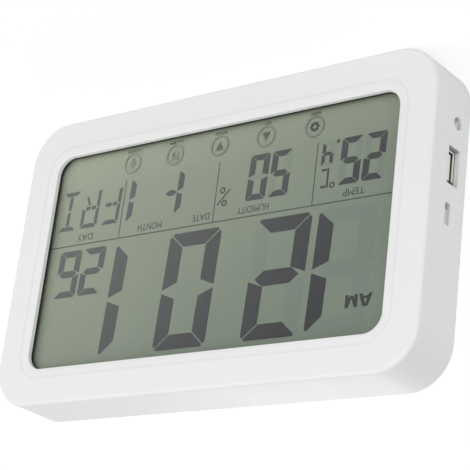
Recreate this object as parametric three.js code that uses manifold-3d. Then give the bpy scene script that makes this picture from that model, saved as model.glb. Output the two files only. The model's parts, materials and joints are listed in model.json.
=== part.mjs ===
// Digital clock for a wall or a table, with a large liquid crystal display.
// Millimetres. X runs to the right as the face is read, Y from the face to the wall, Z up.
// The solids are built with Y = 0 on the face, and the group then moves so that the origin
// lies under the middle of the case.

import * as THREE from 'three';
import { mergeVertices } from 'three/addons/utils/BufferGeometryUtils.js';
import Module from 'manifold-3d';

const wasm = await Module();
wasm.setup();

// Case
const caseWidth = 200;
const caseHeight = 124;
const caseDepth = 23.4;
const caseCornerRadius = 17.2;
const caseDraft = 0.43; // how far the back edge stands outside the face on both ends and the top
const faceEdgeRadius = 1.5;
const sideWall = 2.2;
const faceWall = 2.5;

// Window and its sunk bevel
const windowSideBorder = 15.3;
const windowTopBorder = 15;
const windowFootBorder = 15.8;
const windowCornerRadius = 7.5;
const bevelWidth = 3.9;
const bevelDepth = 0.75;

// Layers behind the window, from the face to the back
const gasketThickness = 0.6;
const lensThickness = 1;
const lensOverlap = 4.5;
const lensCornerRadius = 8;
const lensRib = 1.2;
const touchFilmThickness = 0.2;
const touchFilmHeight = 15;
const polariserThickness = 0.2;
const glassThickness = 1;
const displayOverlap = 2.8;
const contactLedge = 4;
const reflectorThickness = 0.2;
const guideThickness = 1.5;
const holderWall = 2.3;
const holderFloor = 0.8;
const holderCornerRadius = 8;
const earLength = 6;
const earWidth = 8;
const earThickness = 2.2;
const earCornerRadius = 2;
const earSpread = 120;
const zebraLength = 120;
const zebraWidth = 2;
const tailWidth = 10;
const tailOffset = 20;
const ledStripThickness = 1;
const ledStripLength = 60;
const ledSize = 1.2;
const ledSpread = 21;

// Circuit board and what is soldered to it; places are measured from its left end and the foot
const boardThickness = 1.6;
const boardStandoff = 1;
const boardRightInset = 34;
const boardStripHeight = 40;
const boardLegWidth = 62.5;
const boardLegRise = 15.9; // above the middle of the switch slot
const boardSideGap = 1.3;
const boardPostInset = 4.4;
const boardPostDrop = 4.5;
const epoxyRadius = 8;
const epoxyHeight = 1.8;
const epoxyPlace = [44.5, 22];
const crystalRadius = 1;
const crystalLength = 6;
const crystalPlace = [34.5, 36];
const capacitorRadius = 2.5;
const capacitorHeight = 5.5;
const capacitorGrooveHeight = 0.6;
const capacitorGroove = 0.2;
const capacitorPlace = [26.5, 52];
const sensorWidth = 8;
const sensorHeight = 10;
const sensorThickness = 3.5;
const sensorInset = 20;
const sensorFoot = 15;
const sensorFrame = 1;
const sensorLouvreCount = 4;
const sensorLouvreWidth = 0.8;

// Socket, slide switch and push button in the left end, with their heights above the foot
const usbHeight = 44.2;
const usbCutLength = 14.5;
const usbCutWidth = 7.3;
const usbCutRadius = 0.6;
const usbRecess = 2;
const usbShellLength = 13.1;
const usbShellWidth = 5.7;
const usbShellReach = 13.5;
const usbShellWall = 0.35;
const usbShellRadius = 0.7;
const usbFlare = 0.35;
const usbTongueLength = 11.1;
const usbTongueWidth = 1.7;
const usbTongueReach = 8;
const usbTongueRecess = 0.6;
const usbTongueGap = 0.75;
const usbBodyGap = 0.15;
const usbContactPitch = 2.5;
const usbContactWidth = 1;
const usbContactThickness = 0.25;
const usbContactSetback = 1;
const usbContactCount = 4;
const slotHeight = 63.1;
const slotLength = 8.2;
const slotWidth = 3.3;
const slotRadius = 0.4;
const switchTravel = 2;
const knobRecess = 0.6;
const knobLand = 0.4;
const knobRadius = 0.3;
const knobGrooveDepth = 0.35;
const knobGrooveWidth = 0.5;
const knobGroovePitch = 1.2;
const knobStemWidth = 1.2;
const knobStemLength = 3;
const knobStemReach = 1.8;
const switchFrameWidth = 2.8;
const switchFrameLength = 10.4;
const switchFrameReach = 4;
const switchFrameWall = 0.45;
const buttonHeight = 26.9;
const buttonHoleRadius = 2.5;
const buttonRecess = 0.8;
const buttonTravel = 0.5;
const buttonFlange = 0.8;
const buttonFlangeReach = 1;
const buttonEdge = 0.35;
const buttonCrown = 0.2;
const buttonAxisRise = 4.2;
const plungerRadius = 1.6;
const plungerReach = 1.2;
const plungerSeat = 1;
const tactSize = 6.2;
const tactReach = 4;

// Back cover, its bosses and hangers
const coverThickness = 2;
const coverGap = 0.3;
const bossRadius = 3.2;
const bossFin = 1.6;
const wellWall = 1.2;
const wellDepth = 4;
const wellFloor = 1.6;
const coverScrewRadius = 1.3;
const coverScrewLength = 9;
const coverScrewHeadRadius = 2.5;
const coverScrewHeadHeight = 1.8;
const smallScrewRadius = 1;
const smallScrewLength = 5;
const smallScrewHeadRadius = 1.9;
const smallScrewHeadHeight = 1.3;
const screwTip = 1.2;
const smallBossRadius = 2.6;
const keyholeSpread = 140;
const keyholeDrop = 24;
const keyholeRadius = 4.2;
const keyholeSlotWidth = 4.4;
const keyholeRise = 8;
const keyholePocketDepth = 5;
const keyholePocketWall = 1.2;
const keyholePocketRadius = 2.25;
const soundHoleRadius = 1;
const soundRingRadius = 5.5;
const soundHoleCount = 6;
const ventCount = 5;
const ventWidth = 1.6;
const ventHeight = 9;
const ventPitch = 4;

// Stand leg in its recess
const legDrop = 12.75; // from the foot of the battery door to the hinge axis
const legFootMargin = 4.5;
const legTopWidth = 40;
const legFootWidth = 50;
const legThickness = 3;
const legSink = 0.2;
const legFloorWall = 1.5;
const legPinRadius = 1.1;
const legPinReach = 2.4;
const legPinGap = 0.15;
const legSocketWall = 1.5;
const legCornerRadius = 5;
const legNotchRadius = 7;
const legRibWidth = 1.4;
const legEdge = 3;
const legHollowCount = 4;
const legHollowRadius = 1.5;

// Battery bay, its door and what it holds
const cellRadius = 5.25;
const cellLength = 44.5;
const cellNubRadius = 1.9;
const cellNubLength = 0.8;
const cellRim = 0.6;
const cellNubEdge = 0.3;
const cellPitch = 10.9;
const cellCount = 3;
const cellGap = 0.3;
const bayWall = 1.2;
const bayFloor = 0.8;
const bayCornerRadius = 1.5;
const contactThickness = 0.4;
const contactWidth = 9;
const contactPlay = 0.1;
const dimpleRadius = 1.2;
const dimpleReach = 0.7;
const contactTabWidth = 3;
const contactTabThickness = 1.6;
const contactTabReach = 2;
const springLength = 4;
const springRadius = 3;
const springWire = 0.7;
const springTurns = 3;
const springStepsPerTurn = 8;
const doorThickness = 1.6;
const doorOverlap = 1.8;
const doorMargin = 8.25; // from the top of the case to the door
const doorCornerRadius = 2;
const doorTabWidth = 7;
const doorTabSpread = 28;
const doorTabThickness = 1;
const doorTabReach = 1.5;
const doorHookInset = 1;
const doorHookWidth = 1.5;
const latchWidth = 14;
const latchLength = 9;
const latchSlit = 0.7;
const scoopHeight = 6;
const gripCount = 4;
const gripDepth = 0.4;
const gripPitch = 2.2;
const gripInset = 2;
const leadRadius = 0.65;
const leadRise = 3;
const leadSteps = 16;
const positiveLand = [54.5, 70];
const negativeLand = [132.5, 36];

// Sounder
const sounderInset = 38;
const sounderHeight = 40;
const sounderRadius = 13.5;
const sounderThickness = 0.5;
const ceramicRadius = 9.7;
const sounderRingWall = 1.5;
const sounderRingHeight = 1.6;
const sounderLeadRadius = 0.4;
const sounderLeadSpread = 4;
const sounderLeadDrop = 14.5;
const sounderLeadRun = 4;
const sounderLeadSteps = 12;

// Clearances
const fitGap = 0.3;
const holeGap = 0.3;
const overcut = 1;
const bite = 0.1; // how far joined forms run into each other

// Smoothness of round forms
const cornerDivisions = 4;
const edgeSteps = 4;
const rodSides = 16;
const ringSides = 24;
const smallSides = 8;
const wireDivisions = 3;
const cutDivisions = 2;
const keyholeDivisions = 5;

// Places worked out from the sizes above
const windowWidth = caseWidth - 2 * windowSideBorder;
const windowHeight = caseHeight - windowTopBorder - windowFootBorder;
const windowMiddle = windowFootBorder + windowHeight / 2;
const lensWidth = windowWidth + 2 * lensOverlap;
const lensHeight = windowHeight + 2 * lensOverlap;
const displayWidth = windowWidth + 2 * displayOverlap;
const displayHeight = windowHeight + 2 * displayOverlap;
const displayFoot = windowMiddle - displayHeight / 2;
const displayTop = windowMiddle + displayHeight / 2;
const gasketFront = faceWall;
const lensFront = gasketFront + gasketThickness;
const filmFront = lensFront + lensThickness;
const polariserFront = filmFront + touchFilmThickness;
const glassFront = polariserFront + polariserThickness;
const glassBack = glassFront + 2 * glassThickness;
const reflectorBack = glassBack + reflectorThickness;
const guideBack = reflectorBack + guideThickness;
const holderBack = guideBack + holderFloor;
const holderWidth = displayWidth + 2 * (fitGap + holderWall);
const holderHeight = displayHeight + 2 * (fitGap + holderWall);
const holderFoot = windowMiddle - holderHeight / 2;
const holderTop = windowMiddle + holderHeight / 2;
const boardFront = holderBack + boardStandoff;
const boardBack = boardFront + boardThickness;
const boardLeft = -(caseWidth / 2 - sideWall - boardSideGap);
const boardFoot = sideWall + boardSideGap;
const coverFront = caseDepth - coverThickness;
const coverMiddle = caseDepth - coverThickness / 2;
const seatDepth = caseDepth - wellDepth;
const bossTop = seatDepth - wellFloor;
const pilotEnd = seatDepth - coverScrewLength - overcut;
const cornerAcross = caseWidth / 2 - caseCornerRadius;
const wellRadius = coverScrewHeadRadius + fitGap;
const bossShift = (caseCornerRadius - sideWall - coverGap - wellWall - wellRadius) * Math.SQRT1_2;
const bossAcross = cornerAcross + bossShift;
const bossFoot = caseCornerRadius - bossShift;
const bossTopHeight = caseHeight - caseCornerRadius + bossShift;
const earHeights = [holderFoot - earLength / 2, holderTop + earLength / 2];
const zebraFoot = displayFoot + (contactLedge - zebraWidth) / 2;
const boardRight = caseWidth / 2 - boardRightInset;
const boardLegHeight = slotHeight + boardLegRise;
const boardPostAcross = -(caseWidth / 2 - sideWall - boardPostInset);
const boardPostHeight = boardLegHeight - boardPostDrop;
const keyholeHeight = caseHeight - keyholeDrop;
const sounderAcross = caseWidth / 2 - sounderInset;
const cellStack = (cellCount - 1) * cellPitch;
const doorFront = caseDepth - doorThickness;
const cellAxis = doorFront - cellGap - cellRadius;
const bayFront = cellAxis - cellRadius - cellGap - bayFloor;
const bayLength = cellLength + cellNubLength + springLength + 2 * contactThickness + 3 * cellGap;
const bayInnerHeight = cellStack + 2 * (cellRadius + cellGap);
const doorWidth = bayLength + 2 * doorOverlap;
const doorHeight = bayInnerHeight + 2 * doorOverlap;
const doorTabPlaces = [-doorTabSpread / 2, doorTabSpread / 2];
const bayHeight = caseHeight - doorMargin - doorHeight / 2;
const cellHeights = Array.from({ length: cellCount }, (_, i) => bayHeight + cellStack / 2 - i * cellPitch);
const legPivotHeight = bayHeight - doorHeight / 2 - legDrop;
const legLength = legPivotHeight - legFootMargin;
const legBack = caseDepth - legSink;
const legFront = legBack - legThickness;
const legAxis = (legFront + legBack) / 2;
const legPocketFront = legFront - fitGap;
const legPocketTop = legPivotHeight + legThickness / 2 + fitGap;
const usbAxis = boardBack + fitGap + usbShellWidth / 2;
const switchAxis = boardBack + switchFrameWidth / 2;
const buttonAxis = boardBack + buttonAxisRise;

const endOutside = (depth) => caseWidth / 2 + caseDraft * depth / caseDepth;
const endInside = (depth) => endOutside(depth) - sideWall;

// A closed three.js geometry becomes a solid that can be cut and joined.
function solid(geometry) {
  const bare = geometry.clone();
  bare.deleteAttribute('normal');
  bare.deleteAttribute('uv');
  const merged = mergeVertices(bare, 1e-4);
  const corners = merged.index.array;
  const triangles = [];
  for (let i = 0; i < corners.length; i += 3) {
    const [a, b, c] = [corners[i], corners[i + 1], corners[i + 2]];
    if (a !== b && b !== c && c !== a) triangles.push(a, b, c);
  }
  return new wasm.Manifold(new wasm.Mesh({
    numProp: 3,
    vertProperties: new Float32Array(merged.attributes.position.array),
    triVerts: new Uint32Array(triangles),
  }));
}

// A finished solid becomes a named mesh with its own material.
function piece(name, shape, finish) {
  const result = shape.getMesh();
  const geometry = new THREE.BufferGeometry();
  geometry.setAttribute('position', new THREE.BufferAttribute(new Float32Array(result.vertProperties), 3));
  geometry.setIndex(new THREE.BufferAttribute(new Uint32Array(result.triVerts), 1));
  geometry.computeVertexNormals();
  const mesh = new THREE.Mesh(geometry, new THREE.MeshStandardMaterial({ ...finish, flatShading: true }));
  mesh.name = name;
  return mesh;
}

// Outlines, in X and Z for slabs and in Y and Z for pieces cut through the end walls
function roundedRect(width, height, radius, across = 0, up = 0) {
  const shape = new THREE.Shape();
  const x = width / 2 - radius;
  const z = height / 2 - radius;
  shape.absarc(across + x, up + z, radius, 0, Math.PI / 2);
  shape.absarc(across - x, up + z, radius, Math.PI / 2, Math.PI);
  shape.absarc(across - x, up - z, radius, Math.PI, 1.5 * Math.PI);
  shape.absarc(across + x, up - z, radius, 1.5 * Math.PI, 2 * Math.PI);
  return shape;
}

function polygon(corners) {
  return new THREE.Shape(corners.map(([x, z]) => new THREE.Vector2(x, z)));
}

function circle(radius, across, up) {
  return new THREE.Shape().absarc(across, up, radius, 0, 2 * Math.PI);
}

function capsule(width, height, across, up) {
  return roundedRect(width, height, Math.min(width, height) / 2 - 0.001, across, up);
}

// Solids by extrusion: from face to back, or from the left end inwards
function slab(shape, front, back, divisions = cornerDivisions) {
  const options = { depth: back - front, bevelEnabled: false, curveSegments: divisions };
  const geometry = new THREE.ExtrudeGeometry(shape, options);
  geometry.rotateX(Math.PI / 2);
  geometry.translate(0, back, 0);
  return solid(geometry);
}

function crossways(shape, left, right, divisions = cornerDivisions) {
  const options = { depth: right - left, bevelEnabled: false, curveSegments: divisions };
  const geometry = new THREE.ExtrudeGeometry(shape, options);
  const depthAxis = new THREE.Vector3(0, 1, 0);
  const heightAxis = new THREE.Vector3(0, 0, 1);
  const lengthAxis = new THREE.Vector3(1, 0, 0);
  geometry.applyMatrix4(new THREE.Matrix4().makeBasis(depthAxis, heightAxis, lengthAxis));
  geometry.translate(left, 0, 0);
  return solid(geometry);
}

function block(x0, x1, y0, y1, z0, z1) {
  const geometry = new THREE.BoxGeometry(x1 - x0, y1 - y0, z1 - z0);
  geometry.translate((x0 + x1) / 2, (y0 + y1) / 2, (z0 + z1) / 2);
  return solid(geometry);
}

// Round bars along Y and along X
function post(radius, x, z, front, back, sides = rodSides) {
  const geometry = new THREE.CylinderGeometry(radius, radius, back - front, sides);
  geometry.translate(x, (front + back) / 2, z);
  return solid(geometry);
}

function bar(radius, y, z, left, right, sides = rodSides) {
  const geometry = new THREE.CylinderGeometry(radius, radius, right - left, sides);
  geometry.rotateZ(Math.PI / 2);
  geometry.translate((left + right) / 2, y, z);
  return solid(geometry);
}

// Turned piece about an axis along Y; the profile holds radius and depth, front to back.
function turned(profile, x, z, sides = rodSides) {
  const points = profile.map(([radius, depth]) => new THREE.Vector2(radius, depth));
  const geometry = new THREE.LatheGeometry(points, sides);
  geometry.translate(x, 0, z);
  return solid(geometry);
}

function wire(points, radius, steps) {
  const route = new THREE.CatmullRomCurve3(points.map((point) => new THREE.Vector3(...point)));
  const section = circle(radius, 0, 0);
  const options = { steps, bevelEnabled: false, curveSegments: wireDivisions, extrudePath: route };
  return solid(new THREE.ExtrudeGeometry(section, options));
}

// Closed solid through rings of equally many points, from the face towards the wall
function loft(rings) {
  const count = rings[0].points.length;
  const positions = [];
  for (const ring of rings) {
    for (const point of ring.points) positions.push(point.x, ring.depth, point.y);
  }
  const triangles = [];
  for (let level = 0; level + 1 < rings.length; level++) {
    for (let i = 0; i < count; i++) {
      const here = level * count + i;
      const next = level * count + (i + 1) % count;
      triangles.push(here, here + count, next);
      triangles.push(next, here + count, next + count);
    }
  }
  const last = (rings.length - 1) * count;
  for (let i = 1; i + 1 < count; i++) {
    triangles.push(0, i, i + 1);
    triangles.push(last, last + i + 1, last + i);
  }
  const geometry = new THREE.BufferGeometry();
  geometry.setAttribute('position', new THREE.BufferAttribute(new Float32Array(positions), 3));
  geometry.setIndex(triangles);
  return solid(geometry);
}

function ring(width, height, radius, up, depth) {
  const points = roundedRect(width, height, radius, 0, up).getPoints(cornerDivisions * 2);
  if (points[0].distanceTo(points[points.length - 1]) < 1e-6) points.pop();
  return { points, depth };
}

// Outline of the case at a depth, moved inwards; the foot side has no draft, so the clock
// stands square on it.
function caseRing(depth, inset) {
  const spread = caseDraft * depth / caseDepth;
  const width = caseWidth + 2 * (spread - inset);
  const height = caseHeight + spread - 2 * inset;
  return ring(width, height, caseCornerRadius - inset, (caseHeight + spread) / 2, depth);
}

// Front case: shell with a rolled face edge, the sunk bevel and window, bosses and end cut-outs
function frontCase() {
  const rolled = [];
  for (let step = 0; step <= edgeSteps; step++) {
    const angle = (step / edgeSteps) * Math.PI / 2;
    const inset = faceEdgeRadius * (1 - Math.sin(angle));
    rolled.push(caseRing(faceEdgeRadius * (1 - Math.cos(angle)), inset));
  }
  let shell = loft([...rolled, caseRing(caseDepth, 0)]);
  shell = shell.subtract(loft([caseRing(faceWall, sideWall), caseRing(caseDepth + overcut, sideWall)]));

  const ribInner = roundedRect(lensWidth + 2 * fitGap, lensHeight + 2 * fitGap,
    lensCornerRadius + fitGap, 0, windowMiddle);
  const ribOuter = roundedRect(lensWidth + 2 * (fitGap + lensRib), lensHeight + 2 * (fitGap + lensRib),
    lensCornerRadius + fitGap + lensRib, 0, windowMiddle);
  const rib = slab(ribOuter, faceWall / 2, filmFront - fitGap);
  shell = shell.add(rib.subtract(slab(ribInner, faceWall / 2 - overcut, caseDepth)));

  for (const side of [-1, 1]) {
    for (const z of [bossFoot, bossTopHeight]) {
      const x = side * bossAcross;
      shell = shell.add(post(bossRadius, x, z, faceWall / 2, bossTop));
      shell = shell.add(cornerFin(side, z < caseHeight / 2 ? -1 : 1, z));
      shell = shell.subtract(post(coverScrewRadius + holeGap, x, z, pilotEnd, caseDepth));
    }
    for (const z of earHeights) {
      shell = shell.add(smallBoss(side * earSpread / 2, z, holderBack - earThickness));
    }
  }
  shell = shell.add(smallBoss(boardPostAcross, boardPostHeight, boardFront));

  const bevel = ring(windowWidth + 2 * bevelWidth, windowHeight + 2 * bevelWidth,
    windowCornerRadius + bevelWidth, windowMiddle, 0);
  const opening = ring(windowWidth, windowHeight, windowCornerRadius, windowMiddle, bevelDepth);
  shell = shell.subtract(loft([
    { ...bevel, depth: -overcut },
    bevel,
    opening,
    { ...opening, depth: faceWall + overcut },
  ]));

  const left = -endOutside(caseDepth) - overcut;
  const right = -endInside(0) + overcut;
  const usbCut = roundedRect(usbCutWidth, usbCutLength, usbCutRadius, usbAxis, usbHeight);
  const slotCut = roundedRect(slotWidth, slotLength, slotRadius, switchAxis, slotHeight);
  shell = shell.subtract(crossways(usbCut, left, right, cutDivisions));
  shell = shell.subtract(crossways(slotCut, left, right, cutDivisions));
  return shell.subtract(bar(buttonHoleRadius, buttonAxis, buttonHeight, left, right, ringSides));
}

// Fin that ties a corner boss to the corner of the case
function cornerFin(side, up, z) {
  const x = side * bossAcross;
  const reach = (coverGap + wellWall + wellRadius + sideWall / 2) * Math.SQRT1_2;
  const half = bossFin / 2 * Math.SQRT1_2;
  const fin = polygon([
    [x - side * half, z + up * half],
    [x + side * half, z - up * half],
    [x + side * (reach + half), z + up * (reach - half)],
    [x + side * (reach - half), z + up * (reach + half)],
  ]);
  return slab(fin, faceWall / 2, bossTop);
}

// Boss for a small screw, standing on the inside of the face, with its blind pilot hole
function smallBoss(x, z, top) {
  const pilot = smallScrewRadius + holeGap;
  const boss = post(smallBossRadius, x, z, faceWall / 2, top, smallSides);
  return boss.subtract(post(pilot, x, z, faceWall, top + overcut, smallSides));
}

// Window stack
function windowGasket() {
  const outer = roundedRect(lensWidth, lensHeight, lensCornerRadius, 0, windowMiddle);
  const inner = roundedRect(windowWidth, windowHeight, windowCornerRadius, 0, windowMiddle);
  const cut = slab(inner, gasketFront - overcut, lensFront + overcut);
  return slab(outer, gasketFront, lensFront).subtract(cut);
}

function windowLens() {
  const outline = roundedRect(lensWidth, lensHeight, lensCornerRadius, 0, windowMiddle);
  return slab(outline, lensFront, filmFront);
}

// Touch film along the foot of the window, with its tail folded back to the board
function touchSensorFilm() {
  const half = displayWidth / 2;
  const tailLeft = tailOffset - tailWidth / 2;
  const tailRight = tailOffset + tailWidth / 2;
  const tailFoot = holderFoot - fitGap - touchFilmThickness;
  const sheet = block(-half, half, filmFront, polariserFront, displayFoot, displayFoot + touchFilmHeight);
  const down = block(tailLeft, tailRight, filmFront, polariserFront, tailFoot, displayFoot + bite);
  const back = block(tailLeft, tailRight, filmFront, boardFront, tailFoot, tailFoot + touchFilmThickness);
  return sheet.add(down).add(back);
}

function displaySheet(front, back, footTrim) {
  const half = displayWidth / 2;
  return block(-half, half, front, back, displayFoot + footTrim, displayTop);
}

// Two glass plates; the rear one is shorter and leaves the contact ledge along the foot.
function lcdGlassCell() {
  const ledge = glassFront + glassThickness;
  const section = polygon([
    [glassFront, displayFoot],
    [ledge, displayFoot],
    [ledge, displayFoot + contactLedge],
    [glassBack, displayFoot + contactLedge],
    [glassBack, displayTop],
    [glassFront, displayTop],
  ]);
  return crossways(section, -displayWidth / 2, displayWidth / 2);
}

function backlightGuide() {
  const left = -displayWidth / 2 + ledStripThickness + ledSize + 2 * fitGap;
  return block(left, displayWidth / 2, reflectorBack, guideBack, displayFoot + contactLedge, displayTop);
}

// Narrow board on edge beside the light guide, with three side-firing lamps
function backlightLedStrip() {
  const left = -displayWidth / 2;
  const right = left + ledStripThickness;
  const half = ledStripLength / 2;
  let strip = block(left, right, reflectorBack, guideBack, windowMiddle - half, windowMiddle + half);
  for (const place of [-1, 0, 1]) {
    const z = windowMiddle + place * ledSpread;
    strip = strip.add(block(right - bite, right + ledSize, reflectorBack + bite, guideBack - bite,
      z - ledSize, z + ledSize));
  }
  return strip;
}

// Tray round the display stack, with ears for its screws and a slot for the zebra connector
function displayHolder() {
  const outline = roundedRect(holderWidth, holderHeight, holderCornerRadius, 0, windowMiddle);
  let tray = slab(outline, filmFront, holderBack);
  for (const x of [-earSpread / 2, earSpread / 2]) {
    for (const z of earHeights) {
      const middle = z < windowMiddle ? z + earLength / 2 : z - earLength / 2;
      const ear = roundedRect(earWidth, earLength * 2, earCornerRadius, x, middle);
      tray = tray.add(slab(ear, holderBack - earThickness, holderBack, cutDivisions));
    }
    tray = tray.add(post(smallBossRadius, x, earHeights[0], holderBack - bite, boardFront, smallSides));
  }
  const hole = smallScrewRadius + holeGap;
  for (const x of [-earSpread / 2, earSpread / 2]) {
    for (const z of earHeights) {
      tray = tray.subtract(post(hole, x, z, filmFront, boardFront + overcut, smallSides));
    }
  }
  const halfWidth = displayWidth / 2 + fitGap;
  tray = tray.subtract(block(-halfWidth, halfWidth, filmFront - overcut, guideBack,
    displayFoot - fitGap, displayTop + fitGap));
  const zebraHalf = zebraLength / 2 + fitGap;
  tray = tray.subtract(block(-zebraHalf, zebraHalf, guideBack - overcut, holderBack + overcut,
    zebraFoot - fitGap, zebraFoot + zebraWidth + fitGap));
  const tailHalf = tailWidth / 2 + fitGap;
  const notch = block(tailOffset - tailHalf, tailOffset + tailHalf, filmFront - overcut,
    polariserFront + fitGap, holderFoot - overcut, windowMiddle);
  return tray.subtract(notch);
}

function zebraConnector() {
  const half = zebraLength / 2;
  return block(-half, half, glassFront + glassThickness, boardFront, zebraFoot, zebraFoot + zebraWidth);
}

// Circuit board: a strip along the foot and a leg behind the left end
function mainBoard() {
  const notchAcross = -(bossAcross - bossRadius - 2 * fitGap);
  const notchHeight = bossFoot + bossRadius + 2 * fitGap;
  const outline = polygon([
    [notchAcross, boardFoot],
    [boardRight, boardFoot],
    [boardRight, boardStripHeight],
    [boardLeft + boardLegWidth, boardStripHeight],
    [boardLeft + boardLegWidth, boardLegHeight],
    [boardLeft, boardLegHeight],
    [boardLeft, notchHeight],
    [notchAcross, notchHeight],
  ]);
  let board = slab(outline, boardFront, boardBack);
  const hole = smallScrewRadius + holeGap;
  for (const [x, z] of boardScrewPlaces()) {
    board = board.subtract(post(hole, x, z, boardFront - overcut, boardBack + overcut, smallSides));
  }
  return board;
}

function boardScrewPlaces() {
  return [
    [-earSpread / 2, earHeights[0]],
    [earSpread / 2, earHeights[0]],
    [boardPostAcross, boardPostHeight],
  ];
}

function controllerEpoxy() {
  const profile = [[0, boardBack]];
  for (let step = 0; step <= edgeSteps; step++) {
    const angle = (step / edgeSteps) * Math.PI / 2;
    profile.push([epoxyRadius * Math.cos(angle), boardBack + epoxyHeight * Math.sin(angle)]);
  }
  profile[profile.length - 1][0] = 0;
  const [inset, z] = epoxyPlace;
  return turned(profile, boardLeft + inset, z);
}

function clockCrystal() {
  const [inset, z] = crystalPlace;
  const left = boardLeft + inset;
  return bar(crystalRadius, boardBack + crystalRadius, z, left, left + crystalLength, smallSides);
}

function smoothingCapacitor() {
  const [inset, z] = capacitorPlace;
  const top = boardBack + capacitorHeight;
  const groove = boardBack + capacitorGrooveHeight;
  return turned([
    [0, boardBack],
    [capacitorRadius, boardBack],
    [capacitorRadius, groove],
    [capacitorRadius - capacitorGroove, groove + capacitorGroove],
    [capacitorRadius, groove + 2 * capacitorGroove],
    [capacitorRadius, top - capacitorGroove],
    [capacitorRadius - capacitorGroove, top],
    [0, top],
  ], boardLeft + inset, z);
}

// Louvred shell of the temperature and humidity sensor, beside the vents of the cover
function climateSensor() {
  const x = boardLeft + sensorInset;
  const back = boardBack + sensorThickness;
  const pitch = sensorHeight / (sensorLouvreCount + 1);
  let shell = block(x, x + sensorWidth, boardBack, back, sensorFoot, sensorFoot + sensorHeight);
  for (let i = 1; i <= sensorLouvreCount; i++) {
    const z = sensorFoot + i * pitch - sensorLouvreWidth / 2;
    shell = shell.subtract(block(x + sensorFrame, x + sensorWidth - sensorFrame,
      back - sensorLouvreWidth, back + overcut, z, z + sensorLouvreWidth));
  }
  return shell;
}

// USB socket: folded shell with a flared mouth, plastic body with its tongue, and contacts
const usbMouth = -endOutside(usbAxis) + usbRecess;
const usbBack = usbMouth + usbShellReach;
const usbTongueBack = usbAxis + usbShellWidth / 2 - usbShellWall - usbTongueGap;
const usbTongueFront = usbTongueBack - usbTongueWidth;
const usbBodyFront = usbMouth + usbTongueRecess + usbTongueReach;

function usbShell() {
  const outline = (grow) => roundedRect(usbShellWidth + 2 * grow, usbShellLength + 2 * grow,
    usbShellRadius + grow, usbAxis, usbHeight);
  const body = crossways(outline(0), usbMouth, usbBack, cutDivisions);
  const lip = crossways(outline(usbFlare), usbMouth, usbMouth + usbShellWall, cutDivisions);
  const hollow = crossways(outline(-usbShellWall), usbMouth - overcut, usbBack + overcut, cutDivisions);
  return body.add(lip).subtract(hollow);
}

function usbInsulator() {
  const halfWidth = usbShellWidth / 2 - usbShellWall - usbBodyGap;
  const halfLength = usbShellLength / 2 - usbShellWall - usbBodyGap;
  const halfTongue = usbTongueLength / 2;
  const body = block(usbBodyFront, usbBack, usbAxis - halfWidth, usbAxis + halfWidth,
    usbHeight - halfLength, usbHeight + halfLength);
  const tongue = block(usbMouth + usbTongueRecess, usbBodyFront + bite, usbTongueFront, usbTongueBack,
    usbHeight - halfTongue, usbHeight + halfTongue);
  return body.add(tongue);
}

function usbContact(index) {
  const z = usbHeight + (index - (usbContactCount - 1) / 2) * usbContactPitch;
  const mouth = usbMouth + usbTongueRecess + usbContactSetback;
  return block(mouth, usbBodyFront, usbTongueFront - usbContactThickness, usbTongueFront,
    z - usbContactWidth / 2, z + usbContactWidth / 2);
}

// Slide switch: steel frame on the board, and the knob in the slot of the end wall
const knobFront = -endOutside(switchAxis) + knobRecess;
const knobBack = -endInside(switchAxis) + fitGap + knobLand;
const knobLength = slotLength - switchTravel - fitGap;
const knobHeight = slotHeight + slotLength / 2 - fitGap / 2 - knobLength / 2;

function slideSwitchFrame() {
  const mouth = knobBack + fitGap;
  const end = mouth + switchFrameReach;
  const half = switchFrameWidth / 2;
  const shell = block(mouth, end, switchAxis - half, switchAxis + half,
    slotHeight - switchFrameLength / 2, slotHeight + switchFrameLength / 2);
  const slit = knobStemWidth / 2 + fitGap;
  const run = (knobStemLength + switchTravel) / 2 + fitGap;
  const foot = knobHeight - switchTravel / 2 - run;
  const top = foot + 2 * run;
  const inner = half - switchFrameWall;
  const track = block(mouth - overcut, mouth + switchFrameWall + bite,
    switchAxis - slit, switchAxis + slit, foot, top);
  const cavity = block(mouth + switchFrameWall, end - switchFrameWall,
    switchAxis - inner, switchAxis + inner, foot, top);
  return shell.subtract(track).subtract(cavity);
}

function slideSwitchKnob() {
  const outline = roundedRect(slotWidth - 2 * fitGap, knobLength, knobRadius, switchAxis, knobHeight);
  const paddle = crossways(outline, knobFront, knobBack, cutDivisions);
  const stem = block(knobBack - bite, knobBack + fitGap + knobStemReach,
    switchAxis - knobStemWidth / 2, switchAxis + knobStemWidth / 2,
    knobHeight - knobStemLength / 2, knobHeight + knobStemLength / 2);
  let knob = paddle.add(stem);
  for (const step of [-1, 0, 1]) {
    const z = knobHeight + step * knobGroovePitch;
    knob = knob.subtract(block(knobFront - overcut, knobFront + knobGrooveDepth,
      switchAxis - slotWidth, switchAxis + slotWidth, z - knobGrooveWidth / 2, z + knobGrooveWidth / 2));
  }
  return knob;
}

// Push button: cap behind its hole, plunger and tact switch
const capFront = -endOutside(buttonAxis) + buttonRecess;
const flangeFront = -endInside(caseDepth) + fitGap + caseDraft;
const capBack = flangeFront + buttonFlange;
const tactFront = capBack + plungerReach;

function pushButtonCap() {
  const radius = buttonHoleRadius - fitGap;
  const flange = radius + buttonFlangeReach;
  const profile = [
    [0, 0],
    [radius / 2, buttonCrown / 4],
    [radius - buttonEdge, buttonCrown],
    [radius, buttonCrown + buttonEdge],
    [radius, flangeFront - capFront],
    [flange, flangeFront - capFront],
    [flange, capBack - capFront],
    [0, capBack - capFront],
  ];
  const points = profile.map(([across, along]) => new THREE.Vector2(across, along));
  const geometry = new THREE.LatheGeometry(points, ringSides);
  geometry.rotateZ(-Math.PI / 2);
  geometry.translate(capFront, buttonAxis, buttonHeight);
  return solid(geometry);
}

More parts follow.
